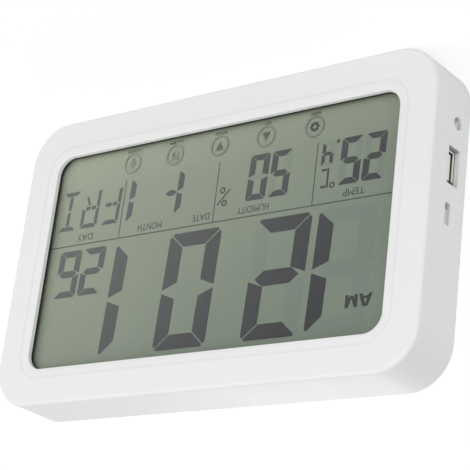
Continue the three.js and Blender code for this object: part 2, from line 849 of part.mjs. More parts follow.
function tactSwitchPlunger() {
  return bar(plungerRadius, buttonAxis, buttonHeight, capBack, tactFront + plungerSeat);
}

function tactSwitchBody() {
  const half = tactSize / 2;
  const body = block(tactFront, tactFront + tactReach, boardBack, buttonAxis + half,
    buttonHeight - half, buttonHeight + half);
  const well = bar(plungerRadius + fitGap, buttonAxis, buttonHeight, tactFront - overcut,
    tactFront + plungerSeat + buttonTravel + fitGap);
  return body.subtract(well);
}

// Back cover: plate let into the case, with wells, keyholes, leg recess, bay and vents
function backCover() {
  const inset = sideWall + coverGap;
  let cover = loft([caseRing(coverFront, inset), caseRing(caseDepth, inset)]);
  cover = cover.add(bayBox()).add(legTray()).add(sounderRing());
  for (const side of [-1, 1]) {
    cover = cover.add(keyholePocket(side * keyholeSpread / 2));
    for (const z of [bossFoot, bossTopHeight]) cover = cover.add(screwWell(side * bossAcross, z));
  }
  cover = cover.subtract(bayCut()).subtract(legCut());
  for (const side of [-1, 1]) {
    cover = cover.subtract(keyholeCut(side * keyholeSpread / 2));
    for (const z of [bossFoot, bossTopHeight]) cover = cover.subtract(screwWellCut(side * bossAcross, z));
  }
  return cover.subtract(soundHoles()).subtract(sensorVents());
}

function screwWell(x, z) {
  return post(wellRadius + wellWall, x, z, bossTop, coverMiddle);
}

function screwWellCut(x, z) {
  const well = post(wellRadius, x, z, seatDepth, caseDepth + overcut);
  return well.add(post(coverScrewRadius + holeGap, x, z, bossTop - overcut, caseDepth));
}

// Keyhole: the screw head goes in at the round end and the shank rests at the top of the slot.
function keyholeOutline(x) {
  const half = keyholeSlotWidth / 2;
  const lift = Math.sqrt(keyholeRadius ** 2 - half ** 2);
  const start = Math.atan2(lift, half);
  const shape = new THREE.Shape();
  shape.absarc(x, keyholeHeight, keyholeRadius, Math.PI - start, 2 * Math.PI + start);
  shape.absarc(x, keyholeHeight + keyholeRise, half, 0, Math.PI);
  return shape;
}

function keyholePocket(x) {
  const width = 2 * (keyholeRadius + fitGap + keyholePocketWall);
  const height = width + keyholeRise;
  const radius = keyholePocketRadius + keyholePocketWall;
  const outline = roundedRect(width, height, radius, x, keyholeHeight + keyholeRise / 2);
  return slab(outline, coverFront - keyholePocketDepth - keyholePocketWall, coverMiddle);
}

function keyholeCut(x) {
  const width = 2 * (keyholeRadius + fitGap);
  const height = width + keyholeRise;
  const outline = roundedRect(width, height, keyholePocketRadius, x, keyholeHeight + keyholeRise / 2);
  const pocket = slab(outline, coverFront - keyholePocketDepth, coverFront);
  return pocket.add(slab(keyholeOutline(x), coverFront - overcut, caseDepth + overcut, keyholeDivisions));
}

// Stand leg recess, with sockets for the hinge stubs in its side walls
function legShape(grow, top) {
  const topHalf = legTopWidth / 2 + grow;
  const footHalf = legFootWidth / 2 + grow;
  const foot = legPivotHeight - legLength - grow;
  const radius = legCornerRadius;
  const shape = new THREE.Shape();
  shape.moveTo(topHalf, legPivotHeight + top);
  shape.lineTo(-topHalf, legPivotHeight + top);
  shape.lineTo(-topHalf, legPivotHeight - legCornerRadius);
  shape.lineTo(-footHalf, foot + radius * 2);
  shape.quadraticCurveTo(-footHalf, foot, -footHalf + radius, foot);
  shape.lineTo(footHalf - radius, foot);
  shape.quadraticCurveTo(footHalf, foot, footHalf, foot + radius * 2);
  shape.lineTo(topHalf, legPivotHeight - legCornerRadius);
  return shape;
}

function legTray() {
  const wall = fitGap + legFloorWall;
  const front = legPocketFront - legFloorWall;
  const tray = slab(legShape(wall, legThickness / 2 + wall), front, coverMiddle);
  const half = legTopWidth / 2 + fitGap + legPinReach + legSocketWall;
  return tray.add(block(-half, half, front, coverMiddle,
    legPivotHeight - legCornerRadius, legPocketTop + legFloorWall));
}

function legCut() {
  const pocket = slab(legShape(fitGap, legThickness / 2 + fitGap), legPocketFront, caseDepth + overcut);
  const half = legTopWidth / 2 + legPinReach + fitGap;
  return pocket.add(bar(legPinRadius + legPinGap, legAxis, legPivotHeight, -half, half));
}

// Leg: rounded at the hinge, ribbed on the hidden side and notched for a finger at the foot
function standLeg() {
  let leg = slab(legShape(0, 0), legFront, legBack);
  leg = leg.add(bar(legThickness / 2, legAxis, legPivotHeight, -legTopWidth / 2, legTopWidth / 2));
  const reach = legTopWidth / 2 + legPinReach;
  leg = leg.add(bar(legPinRadius, legAxis, legPivotHeight, -reach, reach));
  const foot = legPivotHeight - legLength;
  leg = leg.subtract(post(legNotchRadius, 0, foot, legFront - overcut, legBack + overcut, ringSides));

  const hollowTop = legPivotHeight - 2 * legCornerRadius;
  const hollowFoot = foot + legNotchRadius + legEdge;
  const middle = (hollowTop + hollowFoot) / 2;
  const pitch = (legTopWidth - 2 * legEdge) / legHollowCount;
  for (let i = 0; i < legHollowCount; i++) {
    const x = (i - (legHollowCount - 1) / 2) * pitch;
    const outline = roundedRect(pitch - legRibWidth, hollowTop - hollowFoot, legHollowRadius, x, middle);
    leg = leg.subtract(slab(outline, legFront - overcut, legFront + legThickness / 2, cutDivisions));
  }
  return leg;
}

// Battery bay: box with a round cradle under each cell and the sunk ledge for its door
function bayBox() {
  const width = bayLength + 2 * bayWall;
  const height = bayInnerHeight + 2 * bayWall;
  const outline = roundedRect(width, height, bayCornerRadius, 0, bayHeight);
  const box = slab(outline, bayFront, coverMiddle, cutDivisions);
  const ledgeWidth = doorWidth + 2 * (fitGap + bayWall);
  const ledgeHeight = doorHeight + 2 * (fitGap + bayWall);
  const ledge = roundedRect(ledgeWidth, ledgeHeight, doorCornerRadius, 0, bayHeight);
  return box.add(slab(ledge, doorFront - fitGap - bayWall, coverMiddle, cutDivisions));
}

function bayCut() {
  const half = bayLength / 2;
  const doorHole = roundedRect(doorWidth + 2 * fitGap, doorHeight + 2 * fitGap,
    doorCornerRadius + fitGap, 0, bayHeight);
  let cut = slab(doorHole, doorFront - fitGap, caseDepth + overcut, cutDivisions);
  cut = cut.add(block(-half, half, cellAxis, caseDepth,
    bayHeight - bayInnerHeight / 2, bayHeight + bayInnerHeight / 2));
  for (const z of cellHeights) cut = cut.add(bar(cellRadius + cellGap, cellAxis, z, -half, half, ringSides));

  const floor = cellAxis - cellRadius - cellGap;
  const endSpace = contactThickness + cellGap;
  const endReach = (cellStack + contactWidth) / 2 + cellGap;
  for (const left of [-half, half - endSpace]) {
    cut = cut.add(block(left, left + endSpace, floor, caseDepth, bayHeight - endReach, bayHeight + endReach));
  }
  const hookFront = doorFront - doorTabThickness - 4 * fitGap;
  const hookTop = bayHeight + doorHeight / 2 + doorTabReach + 2 * fitGap;
  for (const x of doorTabPlaces) {
    const reach = doorTabWidth / 2 + fitGap;
    cut = cut.add(block(x - reach, x + reach, hookFront, doorFront - fitGap + bite, bayHeight, hookTop));
  }
  const slitHeight = contactTabWidth / 2 + fitGap;
  const slitDepth = contactTabThickness / 2 + fitGap;
  for (const [x, z] of [[-half, cellHeights[0]], [half, cellHeights[cellCount - 1]]]) {
    const reach = 2 * bayWall + overcut;
    cut = cut.add(block(x - reach, x + reach, cellAxis - slitDepth, cellAxis + slitDepth,
      z - slitHeight, z + slitHeight));
  }
  const scoop = capsule(latchWidth, scoopHeight, 0, bayHeight - doorHeight / 2 - fitGap);
  return cut.add(slab(scoop, coverMiddle, caseDepth + overcut));
}

// Door: plate with two hooks under the upper edge, a latch tongue at the lower edge and grip lines
function batteryDoor() {
  const outline = roundedRect(doorWidth, doorHeight, doorCornerRadius, 0, bayHeight);
  let door = slab(outline, doorFront, caseDepth, cutDivisions);
  const top = bayHeight + doorHeight / 2;
  const hookBack = doorFront - 2 * fitGap;
  const hookFront = hookBack - doorTabThickness;
  const hookTop = top - doorHookInset;
  const hookFoot = hookTop - doorHookWidth;
  for (const x of doorTabPlaces) {
    const left = x - doorTabWidth / 2;
    const right = x + doorTabWidth / 2;
    door = door.add(block(left, right, hookFront, doorFront + bite, hookFoot, hookTop));
    door = door.add(block(left, right, hookFront, hookBack, hookFoot, top + doorTabReach));
  }
  const foot = bayHeight - doorHeight / 2;
  for (const side of [-1, 1]) {
    const x = side * latchWidth / 2;
    door = door.subtract(block(x - latchSlit / 2, x + latchSlit / 2, doorFront - overcut, caseDepth + overcut,
      foot - overcut, foot + latchLength));
  }
  for (let i = 0; i < gripCount; i++) {
    const z = foot + gripInset + i * gripPitch;
    const reach = latchWidth / 2 - gripInset;
    const groove = block(-reach, reach, caseDepth - gripDepth, caseDepth + overcut, z, z + gripPitch / 2);
    door = door.subtract(groove);
  }
  return door;
}

// Size AAA cell along X; the nub points left or right.
const cellRoom = contactThickness + springLength + cellGap;

function batteryCell(index) {
  const shoulder = cellLength - cellRim;
  const nubEnd = cellLength + cellNubLength;
  const points = [
    [0, 0],
    [cellRadius - cellRim, 0],
    [cellRadius, cellRim],
    [cellRadius, shoulder - cellRim],
    [cellRadius - cellRim, shoulder],
    [cellNubRadius + cellNubEdge, shoulder],
    [cellNubRadius, nubEnd - cellNubEdge],
    [cellNubRadius - cellNubEdge, nubEnd],
    [0, nubEnd],
  ].map(([radius, along]) => new THREE.Vector2(radius, along));
  const geometry = new THREE.LatheGeometry(points, rodSides);
  const nubLeft = index % 2 === 0;
  geometry.rotateZ(nubLeft ? Math.PI / 2 : -Math.PI / 2);
  const flatEnd = bayLength / 2 - cellRoom;
  geometry.translate(nubLeft ? flatEnd : -flatEnd, cellAxis, cellHeights[index]);
  return solid(geometry);
}

// Contact plates stand in the ends of the bay; springs press on the flat ends of the cells.
function contactPlate(side, upper, lower) {
  const half = bayLength / 2;
  const near = side < 0 ? -half + contactPlay : half - contactPlay - contactThickness;
  const halfWidth = contactWidth / 2;
  return block(near, near + contactThickness, cellAxis - halfWidth, cellAxis + halfWidth,
    cellHeights[lower] - halfWidth, cellHeights[upper] + halfWidth);
}

function contactDimple(side, index) {
  const wall = bayLength / 2 - contactThickness;
  const left = side < 0 ? -wall - bite : wall - dimpleReach + bite;
  return bar(dimpleRadius, cellAxis, cellHeights[index], left, left + dimpleReach, smallSides);
}

class ContactCoil extends THREE.Curve {
  constructor(side, index) {
    super();
    this.side = side;
    this.index = index;
  }

  getPoint(t, target = new THREE.Vector3()) {
    const angle = t * springTurns * 2 * Math.PI;
    const radius = springRadius - springWire * t;
    const wall = bayLength / 2 - contactThickness;
    const along = wall - t * (springLength - springWire / 2);
    return target.set(this.side * along, cellAxis + radius * Math.cos(angle),
      cellHeights[this.index] + radius * Math.sin(angle));
  }
}

function contactSpring(side, index) {
  const section = circle(springWire / 2, 0, 0);
  const options = {
    steps: springTurns * springStepsPerTurn,
    bevelEnabled: false,
    curveSegments: wireDivisions,
    extrudePath: new ContactCoil(side, index),
  };
  return solid(new THREE.ExtrudeGeometry(section, options));
}

function contactTab(side, index) {
  const inner = bayLength / 2 - contactPlay - bite;
  const outer = bayLength / 2 + bayWall + contactTabReach;
  const [left, right] = side < 0 ? [-outer, -inner] : [inner, outer];
  const z = cellHeights[index];
  return block(left, right, cellAxis - contactTabThickness / 2, cellAxis + contactTabThickness / 2,
    z - contactTabWidth / 2, z + contactTabWidth / 2);
}

function batteryContactPositive() {
  return contactPlate(-1, 0, 0).add(contactDimple(-1, 0)).add(contactTab(-1, 0));
}

function batteryContactNegative() {
  return contactPlate(1, 2, 2).add(contactSpring(1, 2)).add(contactTab(1, 2));
}

function batteryBridgeRight() {
  return contactPlate(1, 0, 1).add(contactSpring(1, 0)).add(contactDimple(1, 1));
}

function batteryBridgeLeft() {
  return contactPlate(-1, 1, 2).add(contactSpring(-1, 1)).add(contactDimple(-1, 2));
}

// Leads from the contact tabs to the board
function batteryLead(side, index, land) {
  const start = side * (bayLength / 2 + bayWall + contactTabReach + fitGap);
  const z = cellHeights[index];
  const landAcross = boardLeft + land[0];
  const landHeight = land[1];
  const end = boardBack + fitGap;
  return wire([
    [start, cellAxis, z],
    [start + side * leadRise, cellAxis, z - leadRadius],
    [(start + landAcross) / 2 + side * leadRise, cellAxis - leadRadius, (z + landHeight) / 2],
    [landAcross, end + leadRise, landHeight + leadRadius],
    [landAcross, end, landHeight],
  ], leadRadius, leadSteps);
}

// Sounder disc on a ring behind the sound holes
function sounderRing() {
  const front = coverFront - sounderRingHeight;
  const outer = sounderRadius + sounderRingWall / 2;
  const inner = sounderRadius - sounderRingWall / 2;
  const ringBody = post(outer, sounderAcross, sounderHeight, front, coverMiddle, ringSides);
  return ringBody.subtract(post(inner, sounderAcross, sounderHeight, front - overcut, coverFront, ringSides));
}

function soundHoles() {
  const hole = (x, z) => post(soundHoleRadius, x, z, coverFront - overcut, caseDepth + overcut, smallSides);
  let holes = hole(sounderAcross, sounderHeight);
  for (let i = 0; i < soundHoleCount; i++) {
    const angle = (i / soundHoleCount) * 2 * Math.PI;
    const x = sounderAcross + soundRingRadius * Math.cos(angle);
    const z = sounderHeight + soundRingRadius * Math.sin(angle);
    holes = holes.add(hole(x, z));
  }
  return holes;
}

function sounderDisc() {
  const back = coverFront - sounderRingHeight;
  const middle = back - sounderThickness / 2;
  const front = back - sounderThickness;
  const plate = post(sounderRadius, sounderAcross, sounderHeight, middle, back, ringSides);
  return plate.add(post(ceramicRadius, sounderAcross, sounderHeight, front, middle + bite, ringSides));
}

function sounderLead(side) {
  const start = coverFront - sounderRingHeight - sounderThickness - fitGap - sounderLeadRadius;
  const end = boardBack + fitGap;
  const x = sounderAcross + side * sounderLeadSpread / 2;
  const foot = sounderHeight - sounderLeadDrop;
  return wire([
    [x, start, sounderHeight + sounderLeadRun],
    [x, start, sounderHeight - sounderLeadRun],
    [x - sounderLeadRun / 2, (start + end) / 2, foot + sounderLeadRun],
    [x - sounderLeadRun, end + sounderLeadRun / 2, foot],
    [x - sounderLeadRun, end, foot],
  ], sounderLeadRadius, sounderLeadSteps);
}

function sensorVents() {
  const left = boardLeft + sensorInset + (sensorWidth - (ventCount - 1) * ventPitch) / 2;
  const z = sensorFoot + sensorHeight / 2;
  const vents = [];
  for (let i = 0; i < ventCount; i++) {
    const outline = capsule(ventWidth, ventHeight, left + i * ventPitch, z);
    vents.push(slab(outline, coverFront - overcut, caseDepth + overcut, cutDivisions));
  }
  return vents.reduce((all, vent) => all.add(vent));
}

// Pan-head screw with a cross recess, its head towards the wall
function screw(x, z, seat, radius, length, headRadius, headHeight) {
  const body = turned([
    [0, seat - length],
    [radius * 0.4, seat - length],
    [radius, seat - length + screwTip],
    [radius, seat],
    [headRadius, seat],
    [headRadius, seat + headHeight * 0.4],
    [headRadius * 0.75, seat + headHeight * 0.85],
    [headRadius * 0.35, seat + headHeight],
    [0, seat + headHeight],
  ], x, z, smallSides);
  const arm = headRadius * 0.6;
  const slot = headRadius * 0.14;
  const depth = seat + headHeight * 0.45;
  const top = seat + headHeight + overcut;
  return body
    .subtract(block(x - arm, x + arm, depth, top, z - slot, z + slot))
    .subtract(block(x - slot, x + slot, depth, top, z - arm, z + arm));
}

function coverScrew(x, z) {
  return screw(x, z, seatDepth, coverScrewRadius, coverScrewLength,
    coverScrewHeadRadius, coverScrewHeadHeight);
}

function smallScrew(x, z, seat) {
  return screw(x, z, seat, smallScrewRadius, smallScrewLength, smallScrewHeadRadius, smallScrewHeadHeight);
}

// Finishes
const whitePlastic = { color: 0xe9e9ea, roughness: 0.42, metalness: 0 };
const greyPlastic = { color: 0xc9cacb, roughness: 0.45, metalness: 0 };
const blackFoam = { color: 0x202122, roughness: 0.9, metalness: 0 };
const clearPlastic = { color: 0xf2f6f4, roughness: 0.05, metalness: 0, transparent: true, opacity: 0.2 };
const clearFilm = { color: 0xe6efe8, roughness: 0.15, metalness: 0, transparent: true, opacity: 0.15 };
const displayGreen = { color: 0x939b8c, roughness: 0.3, metalness: 0 };
const displayGlass = { color: 0x8f988a, roughness: 0.1, metalness: 0 };
const silverFilm = { color: 0xb9bdb8, roughness: 0.35, metalness: 0.4 };
const holderWhite = { color: 0xf0f0ec, roughness: 0.55, metalness: 0 };
const rubberGrey = { color: 0x5a5d60, roughness: 0.8, metalness: 0 };
const boardGreen = { color: 0x1f5a36, roughness: 0.5, metalness: 0 };
const blackEpoxy = { color: 0x151617, roughness: 0.35, metalness: 0 };
const steel = { color: 0xb4b6b9, roughness: 0.3, metalness: 1 };
const nickel = { color: 0xc6c5c0, roughness: 0.25, metalness: 1 };
const gold = { color: 0xc9a349, roughness: 0.3, metalness: 1 };
const brass = { color: 0xc2a35a, roughness: 0.35, metalness: 1 };
const capacitorSleeve = { color: 0x23304a, roughness: 0.4, metalness: 0 };
const sensorBlue = { color: 0x3f7fb0, roughness: 0.5, metalness: 0 };
const cellSleeve = { color: 0x3a6f4e, roughness: 0.35, metalness: 0 };
const redWire = { color: 0xb3261e, roughness: 0.5, metalness: 0 };
const blackWire = { color: 0x1b1b1c, roughness: 0.5, metalness: 0 };

// Assembly
const clock = new THREE.Group();

clock.add(piece('front_case', frontCase(), whitePlastic));
clock.add(piece('window_gasket', windowGasket(), blackFoam));
clock.add(piece('window_lens', windowLens(), clearPlastic));
clock.add(piece('touch_sensor_film', touchSensorFilm(), clearFilm));
clock.add(piece('lcd_front_polariser', displaySheet(polariserFront, glassFront, 0), displayGreen));
clock.add(piece('lcd_glass_cell', lcdGlassCell(), displayGlass));
clock.add(piece('lcd_rear_reflector', displaySheet(glassBack, reflectorBack, contactLedge), silverFilm));
clock.add(piece('backlight_guide', backlightGuide(), clearPlastic));
clock.add(piece('backlight_led_strip', backlightLedStrip(), holderWhite));
clock.add(piece('display_holder', displayHolder(), holderWhite));
clock.add(piece('lcd_zebra_connector', zebraConnector(), rubberGrey));

clock.add(piece('main_board', mainBoard(), boardGreen));
clock.add(piece('controller_epoxy', controllerEpoxy(), blackEpoxy));
clock.add(piece('clock_crystal', clockCrystal(), steel));
clock.add(piece('smoothing_capacitor', smoothingCapacitor(), capacitorSleeve));
clock.add(piece('climate_sensor', climateSensor(), sensorBlue));

clock.add(piece('usb_shell', usbShell(), nickel));
clock.add(piece('usb_insulator', usbInsulator(), holderWhite));
for (let i = 0; i < usbContactCount; i++) clock.add(piece(`usb_contact_${i + 1}`, usbContact(i), gold));
clock.add(piece('slide_switch_frame', slideSwitchFrame(), steel));
clock.add(piece('slide_switch_knob', slideSwitchKnob(), greyPlastic));
clock.add(piece('push_button_cap', pushButtonCap(), greyPlastic));
clock.add(piece('tact_switch_plunger', tactSwitchPlunger(), blackEpoxy));
clock.add(piece('tact_switch_body', tactSwitchBody(), blackEpoxy));

clock.add(piece('back_cover', backCover(), whitePlastic));
clock.add(piece('stand_leg', standLeg(), whitePlastic));
clock.add(piece('battery_door', batteryDoor(), whitePlastic));
for (let i = 0; i < cellCount; i++) clock.add(piece(`battery_cell_${i + 1}`, batteryCell(i), cellSleeve));
clock.add(piece('battery_contact_positive', batteryContactPositive(), nickel));
clock.add(piece('battery_contact_negative', batteryContactNegative(), nickel));
clock.add(piece('battery_bridge_right', batteryBridgeRight(), nickel));
clock.add(piece('battery_bridge_left', batteryBridgeLeft(), nickel));
clock.add(piece('battery_lead_positive', batteryLead(-1, 0, positiveLand), redWire));
clock.add(piece('battery_lead_negative', batteryLead(1, cellCount - 1, negativeLand), blackWire));
clock.add(piece('sounder_disc', sounderDisc(), brass));
clock.add(piece('sounder_lead_1', sounderLead(-1), redWire));
clock.add(piece('sounder_lead_2', sounderLead(1), blackWire));

const coverScrewPlaces = [
  [-bossAcross, bossFoot],
  [bossAcross, bossFoot],
  [-bossAcross, bossTopHeight],
  [bossAcross, bossTopHeight],
];
coverScrewPlaces.forEach(([x, z], i) => clock.add(piece(`cover_screw_${i + 1}`, coverScrew(x, z), steel)));
boardScrewPlaces().forEach(([x, z], i) => {
  clock.add(piece(`board_screw_${i + 1}`, smallScrew(x, z, boardBack), steel));
});
for (const side of [-1, 1]) {
  const name = side < 0 ? 'holder_screw_1' : 'holder_screw_2';
  clock.add(piece(name, smallScrew(side * earSpread / 2, earHeights[1], holderBack), steel));
}

clock.position.y = -caseDepth / 2;
clock.updateMatrixWorld(true);

export default clock;
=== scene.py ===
import math

import bpy
from mathutils import Matrix, Vector
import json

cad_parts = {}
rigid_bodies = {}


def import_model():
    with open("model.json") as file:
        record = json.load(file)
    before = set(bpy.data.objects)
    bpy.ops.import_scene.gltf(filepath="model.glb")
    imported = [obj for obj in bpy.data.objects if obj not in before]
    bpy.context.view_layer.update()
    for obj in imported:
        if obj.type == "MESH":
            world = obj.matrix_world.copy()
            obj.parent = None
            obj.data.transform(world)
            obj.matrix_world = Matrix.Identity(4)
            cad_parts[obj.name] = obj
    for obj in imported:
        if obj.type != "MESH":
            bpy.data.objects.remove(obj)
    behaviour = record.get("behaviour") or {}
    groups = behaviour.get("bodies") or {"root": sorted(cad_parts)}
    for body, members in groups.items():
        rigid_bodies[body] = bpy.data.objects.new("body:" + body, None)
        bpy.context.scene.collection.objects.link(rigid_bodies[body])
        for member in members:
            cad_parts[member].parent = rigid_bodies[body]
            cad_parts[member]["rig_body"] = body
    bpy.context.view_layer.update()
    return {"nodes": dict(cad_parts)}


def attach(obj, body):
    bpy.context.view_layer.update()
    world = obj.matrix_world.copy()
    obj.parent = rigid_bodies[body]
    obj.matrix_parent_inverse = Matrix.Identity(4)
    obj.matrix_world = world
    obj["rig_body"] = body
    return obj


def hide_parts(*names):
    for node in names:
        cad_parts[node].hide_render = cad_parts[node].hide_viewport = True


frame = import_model()
cadNodes = frame["nodes"]
mm = 0.001
faceY = -11.7  # mm, the face plane; depths are counted back from it
windowMiddle = 62.4  # mm, the height of the middle of the window


# Camera at the photograph's place. It is rolled over, because the clock was shot upside down.
cameraValues = {
    "place": (-0.38343, -0.45568, 0.27875),
    "turn": (-69.4474, 6.5469, 142.8452),
    "lens": 125.24,
}
camera = bpy.data.objects.new("view_camera", bpy.data.cameras.new("view_camera"))
bpy.context.scene.collection.objects.link(camera)
camera.location = cameraValues["place"]
camera.rotation_euler = [math.radians(a) for a in cameraValues["turn"]]
camera.data.lens = cameraValues["lens"]
camera.data.sensor_width = 36
camera.data.clip_start = 0.01
camera.data.clip_end = 50
bpy.context.scene.camera = camera
bpy.context.scene.view_settings.view_transform = "Standard"
print("camera placed")


# Object helpers

def deselectAll():
    if bpy.context.object and bpy.context.object.mode != "OBJECT":
        bpy.ops.object.mode_set(mode="OBJECT")
    bpy.ops.object.select_all(action="DESELECT")


def pick(*objs):
    deselectAll()
    for obj in objs:
        obj.select_set(True)
    bpy.context.view_layer.objects.active = objs[0]


def editAll(obj):
    pick(obj)
    bpy.ops.object.mode_set(mode="EDIT")
    bpy.ops.mesh.select_all(action="SELECT")


def leaveEdit():
    bpy.ops.object.mode_set(mode="OBJECT")


def rename(obj, name):
    obj.name = name
    obj.data.name = name
    return obj


def applied(obj):
    pick(obj)
    bpy.ops.object.transform_apply(location=True, rotation=True, scale=True)
    return obj


def copyOf(obj, name):
    twin = obj.copy()
    twin.data = obj.data.copy()
    for key in list(twin.keys()):
        del twin[key]
    twin.parent = None
    bpy.context.scene.collection.objects.link(twin)
    return rename(twin, name)


def joined(parts, name):
    pick(*parts)
    if len(parts) > 1:
        bpy.ops.object.join()
    return rename(bpy.context.object, name)


def clearFlags(mesh):
    for part in (mesh.polygons, mesh.edges, mesh.vertices):
        for piece in part:
            piece.select = False


def selectParts(obj, kind, test):  # kind is vertices or edges
    deselectAll()
    bpy.context.tool_settings.mesh_select_mode = (kind == "vertices", kind == "edges", False)
    clearFlags(obj.data)
    for part in getattr(obj.data, kind):
        part.select = bool(test(part))
    pick(obj)
    bpy.ops.object.mode_set(mode="EDIT")


def roundEdges(obj, width, segments, test):  # picks edges by the places of their two ends, in mm
    selectParts(obj, "edges", lambda edge: test(*(obj.data.vertices[i].co * 1000 for i in edge.vertices)))
    bpy.ops.mesh.bevel(offset=width * mm, segments=segments, profile=0.5, affect="EDGES", clamp_overlap=True)
    leaveEdit()


mergeValues = {"gap": 0.000002, "flat": 0.6}  # the gap in metres, the angle between flat faces in degrees


def mergedCopy(nodeName, pieceName):  # a CAD shape made one skin, flat where flat
    piece = copyOf(cadNodes[nodeName], pieceName)
    editAll(piece)
    bpy.ops.mesh.remove_doubles(threshold=mergeValues["gap"])
    bpy.ops.mesh.dissolve_limited(angle_limit=math.radians(mergeValues["flat"]))
    leaveEdit()
    return piece


def smoothed(obj, angle=28):  # round places shade round, and the flats beside them stay flat
    pick(obj)
    bpy.ops.object.shade_smooth_by_angle(angle=math.radians(angle))
    bpy.ops.object.modifier_add(type="WEIGHTED_NORMAL")
    obj.modifiers[-1].keep_sharp = True
    obj.modifiers[-1].weight = 80
    bpy.ops.object.modifier_apply(modifier=obj.modifiers[-1].name)
    return obj


# Material helpers

def feed(node, key, value):  # links an output to an input, or sets a plain value
    if isinstance(value, bpy.types.NodeSocket):
        node.id_data.links.new(value, node.inputs[key])
    else:
        node.inputs[key].default_value = value


def addNode(tree, kind, inputs=None, **settings):
    made = tree.nodes.new(kind)
    for key, value in settings.items():
        setattr(made, key, value)
    for key, value in (inputs or {}).items():
        feed(made, key, value)
    return made


def calc(tree, operation, a, b=0.0, c=None, clamp=False):
    inputs = {0: a, 1: b}
    if c is not None:
        inputs[2] = c
    return addNode(tree, "ShaderNodeMath", inputs, operation=operation, use_clamp=clamp).outputs[0]


def times(tree, a, b):
    return calc(tree, "MULTIPLY", a, b)


def minus(tree, a, b):
    return calc(tree, "SUBTRACT", a, b)


def hypotenuse(tree, a, b):
    return calc(tree, "SQRT", calc(tree, "ADD", times(tree, a, a), times(tree, b, b)))


def blend(tree, amount, first, second):
    mix = addNode(tree, "ShaderNodeMix", {0: amount}, data_type="RGBA")
    for place, value in ((6, first), (7, second)):
        feed(mix, place, value if isinstance(value, bpy.types.NodeSocket) else (*value, 1))
    return mix.outputs[2]


def spread(tree, value, low, high, fromLow=0.0, fromHigh=1.0, kind="LINEAR"):
    inputs = {"Value": value, "From Min": fromLow, "From Max": fromHigh, "To Min": low, "To Max": high}
    return addNode(tree, "ShaderNodeMapRange", inputs, interpolation_type=kind).outputs["Result"]


def ease(tree, *given):  # a spread with soft ends
    return spread(tree, *given, kind="SMOOTHSTEP")


def noise(tree, place, scale, detail, rough=0.5, twist=0.0):
    inputs = {"Vector": place, "Scale": scale, "Detail": detail, "Roughness": rough, "Distortion": twist}
    return addNode(tree, "ShaderNodeTexNoise", inputs).outputs["Fac"]


def addBump(shader, height, strength, depth, normal=None):  # the depth in metres
    inputs = {"Height": height, "Strength": strength, "Distance": depth}
    if normal is not None:
        inputs["Normal"] = normal
    feed(shader, "Normal", addNode(shader.id_data, "ShaderNodeBump", inputs).outputs[0])


def objectPlace(tree, scale=(1, 1, 1)):
    coords = addNode(tree, "ShaderNodeTexCoord")
    inputs = {"Vector": coords.outputs["Object"], "Scale": scale}
    return addNode(tree, "ShaderNodeMapping", inputs).outputs["Vector"]


def acrossAndUp(tree, place):  # two coordinates of a place, in metres
    parts = addNode(tree, "ShaderNodeSeparateXYZ", {0: place})
    return parts.outputs[0], parts.outputs[2]


def startGroup(name, inputs, outputs):
    group = bpy.data.node_groups.new(name, "ShaderNodeTree")
    for label, kind, value in inputs:
        socket = group.interface.new_socket(label, in_out="INPUT", socket_type="NodeSocket" + kind)
        if value is not None:
            socket.default_value = value
    for label, kind in outputs:
        group.interface.new_socket(label, in_out="OUTPUT", socket_type="NodeSocket" + kind)
    return group, group.nodes.new("NodeGroupInput").outputs, group.nodes.new("NodeGroupOutput").inputs


def useGroup(tree, group, inputs):
    return addNode(tree, "ShaderNodeGroup", inputs, node_tree=group).outputs


def makeMouldGrain():  # the fine spark texture of a mould, and slow changes of tone over it
    group, given, out = startGroup(
        "mouldGrain",
        [("Vector", "Vector", None), ("Grain Size", "Float", 0.35), ("Mottle Size", "Float", 30.0)],
        [("Height", "Float"), ("Mottle", "Float"), ("Speckle", "Float")])
    fine = noise(group, given["Vector"], calc(group, "DIVIDE", 1000, given["Grain Size"]), 3, 0.6)
    pits = addNode(group, "ShaderNodeTexVoronoi", {
        "Vector": given["Vector"], "Scale": calc(group, "DIVIDE", 700, given["Grain Size"])},
        feature="SMOOTH_F1")
    slow = noise(group, given["Vector"], calc(group, "DIVIDE", 1000, given["Mottle Size"]), 4, 0.55)
    speck = noise(group, given["Vector"], calc(group, "DIVIDE", 9000, given["Mottle Size"]), 5)
    group.links.new(calc(group, "MULTIPLY_ADD", pits.outputs["Distance"], 0.5, fine), out["Height"])
    group.links.new(spread(group, slow, 0, 1, 0.3, 0.7), out["Mottle"])
    group.links.new(spread(group, speck, 0, 1, 0.6, 0.75), out["Speckle"])
    return group


def makeRubbedEdge():  # where a rounded-off normal leaves the true one, there is an edge
    group, given, out = startGroup(
        "rubbedEdge",
        [("Vector", "Vector", None), ("Radius", "Float", 0.0004), ("Break Up", "Float", 0.5)],
        [("Mask", "Float"), ("Normal", "Vector")])
    wide = addNode(group, "ShaderNodeBevel", {"Radius": given["Radius"]}, samples=4)
    plain = addNode(group, "ShaderNodeNewGeometry")
    dot = addNode(group, "ShaderNodeVectorMath", {0: wide.outputs[0], 1: plain.outputs["Normal"]},
                  operation="DOT_PRODUCT")
    edge = spread(group, dot.outputs["Value"], 1, 0, 0.75, 0.99)
    kept = spread(group, noise(group, given["Vector"], 260, 4), 0, 1, 0.35, 0.65)
    worn = minus(group, 1, times(group, kept, given["Break Up"]))
    group.links.new(times(group, edge, worn), out["Mask"])
    group.links.new(wide.outputs[0], out["Normal"])
    return group


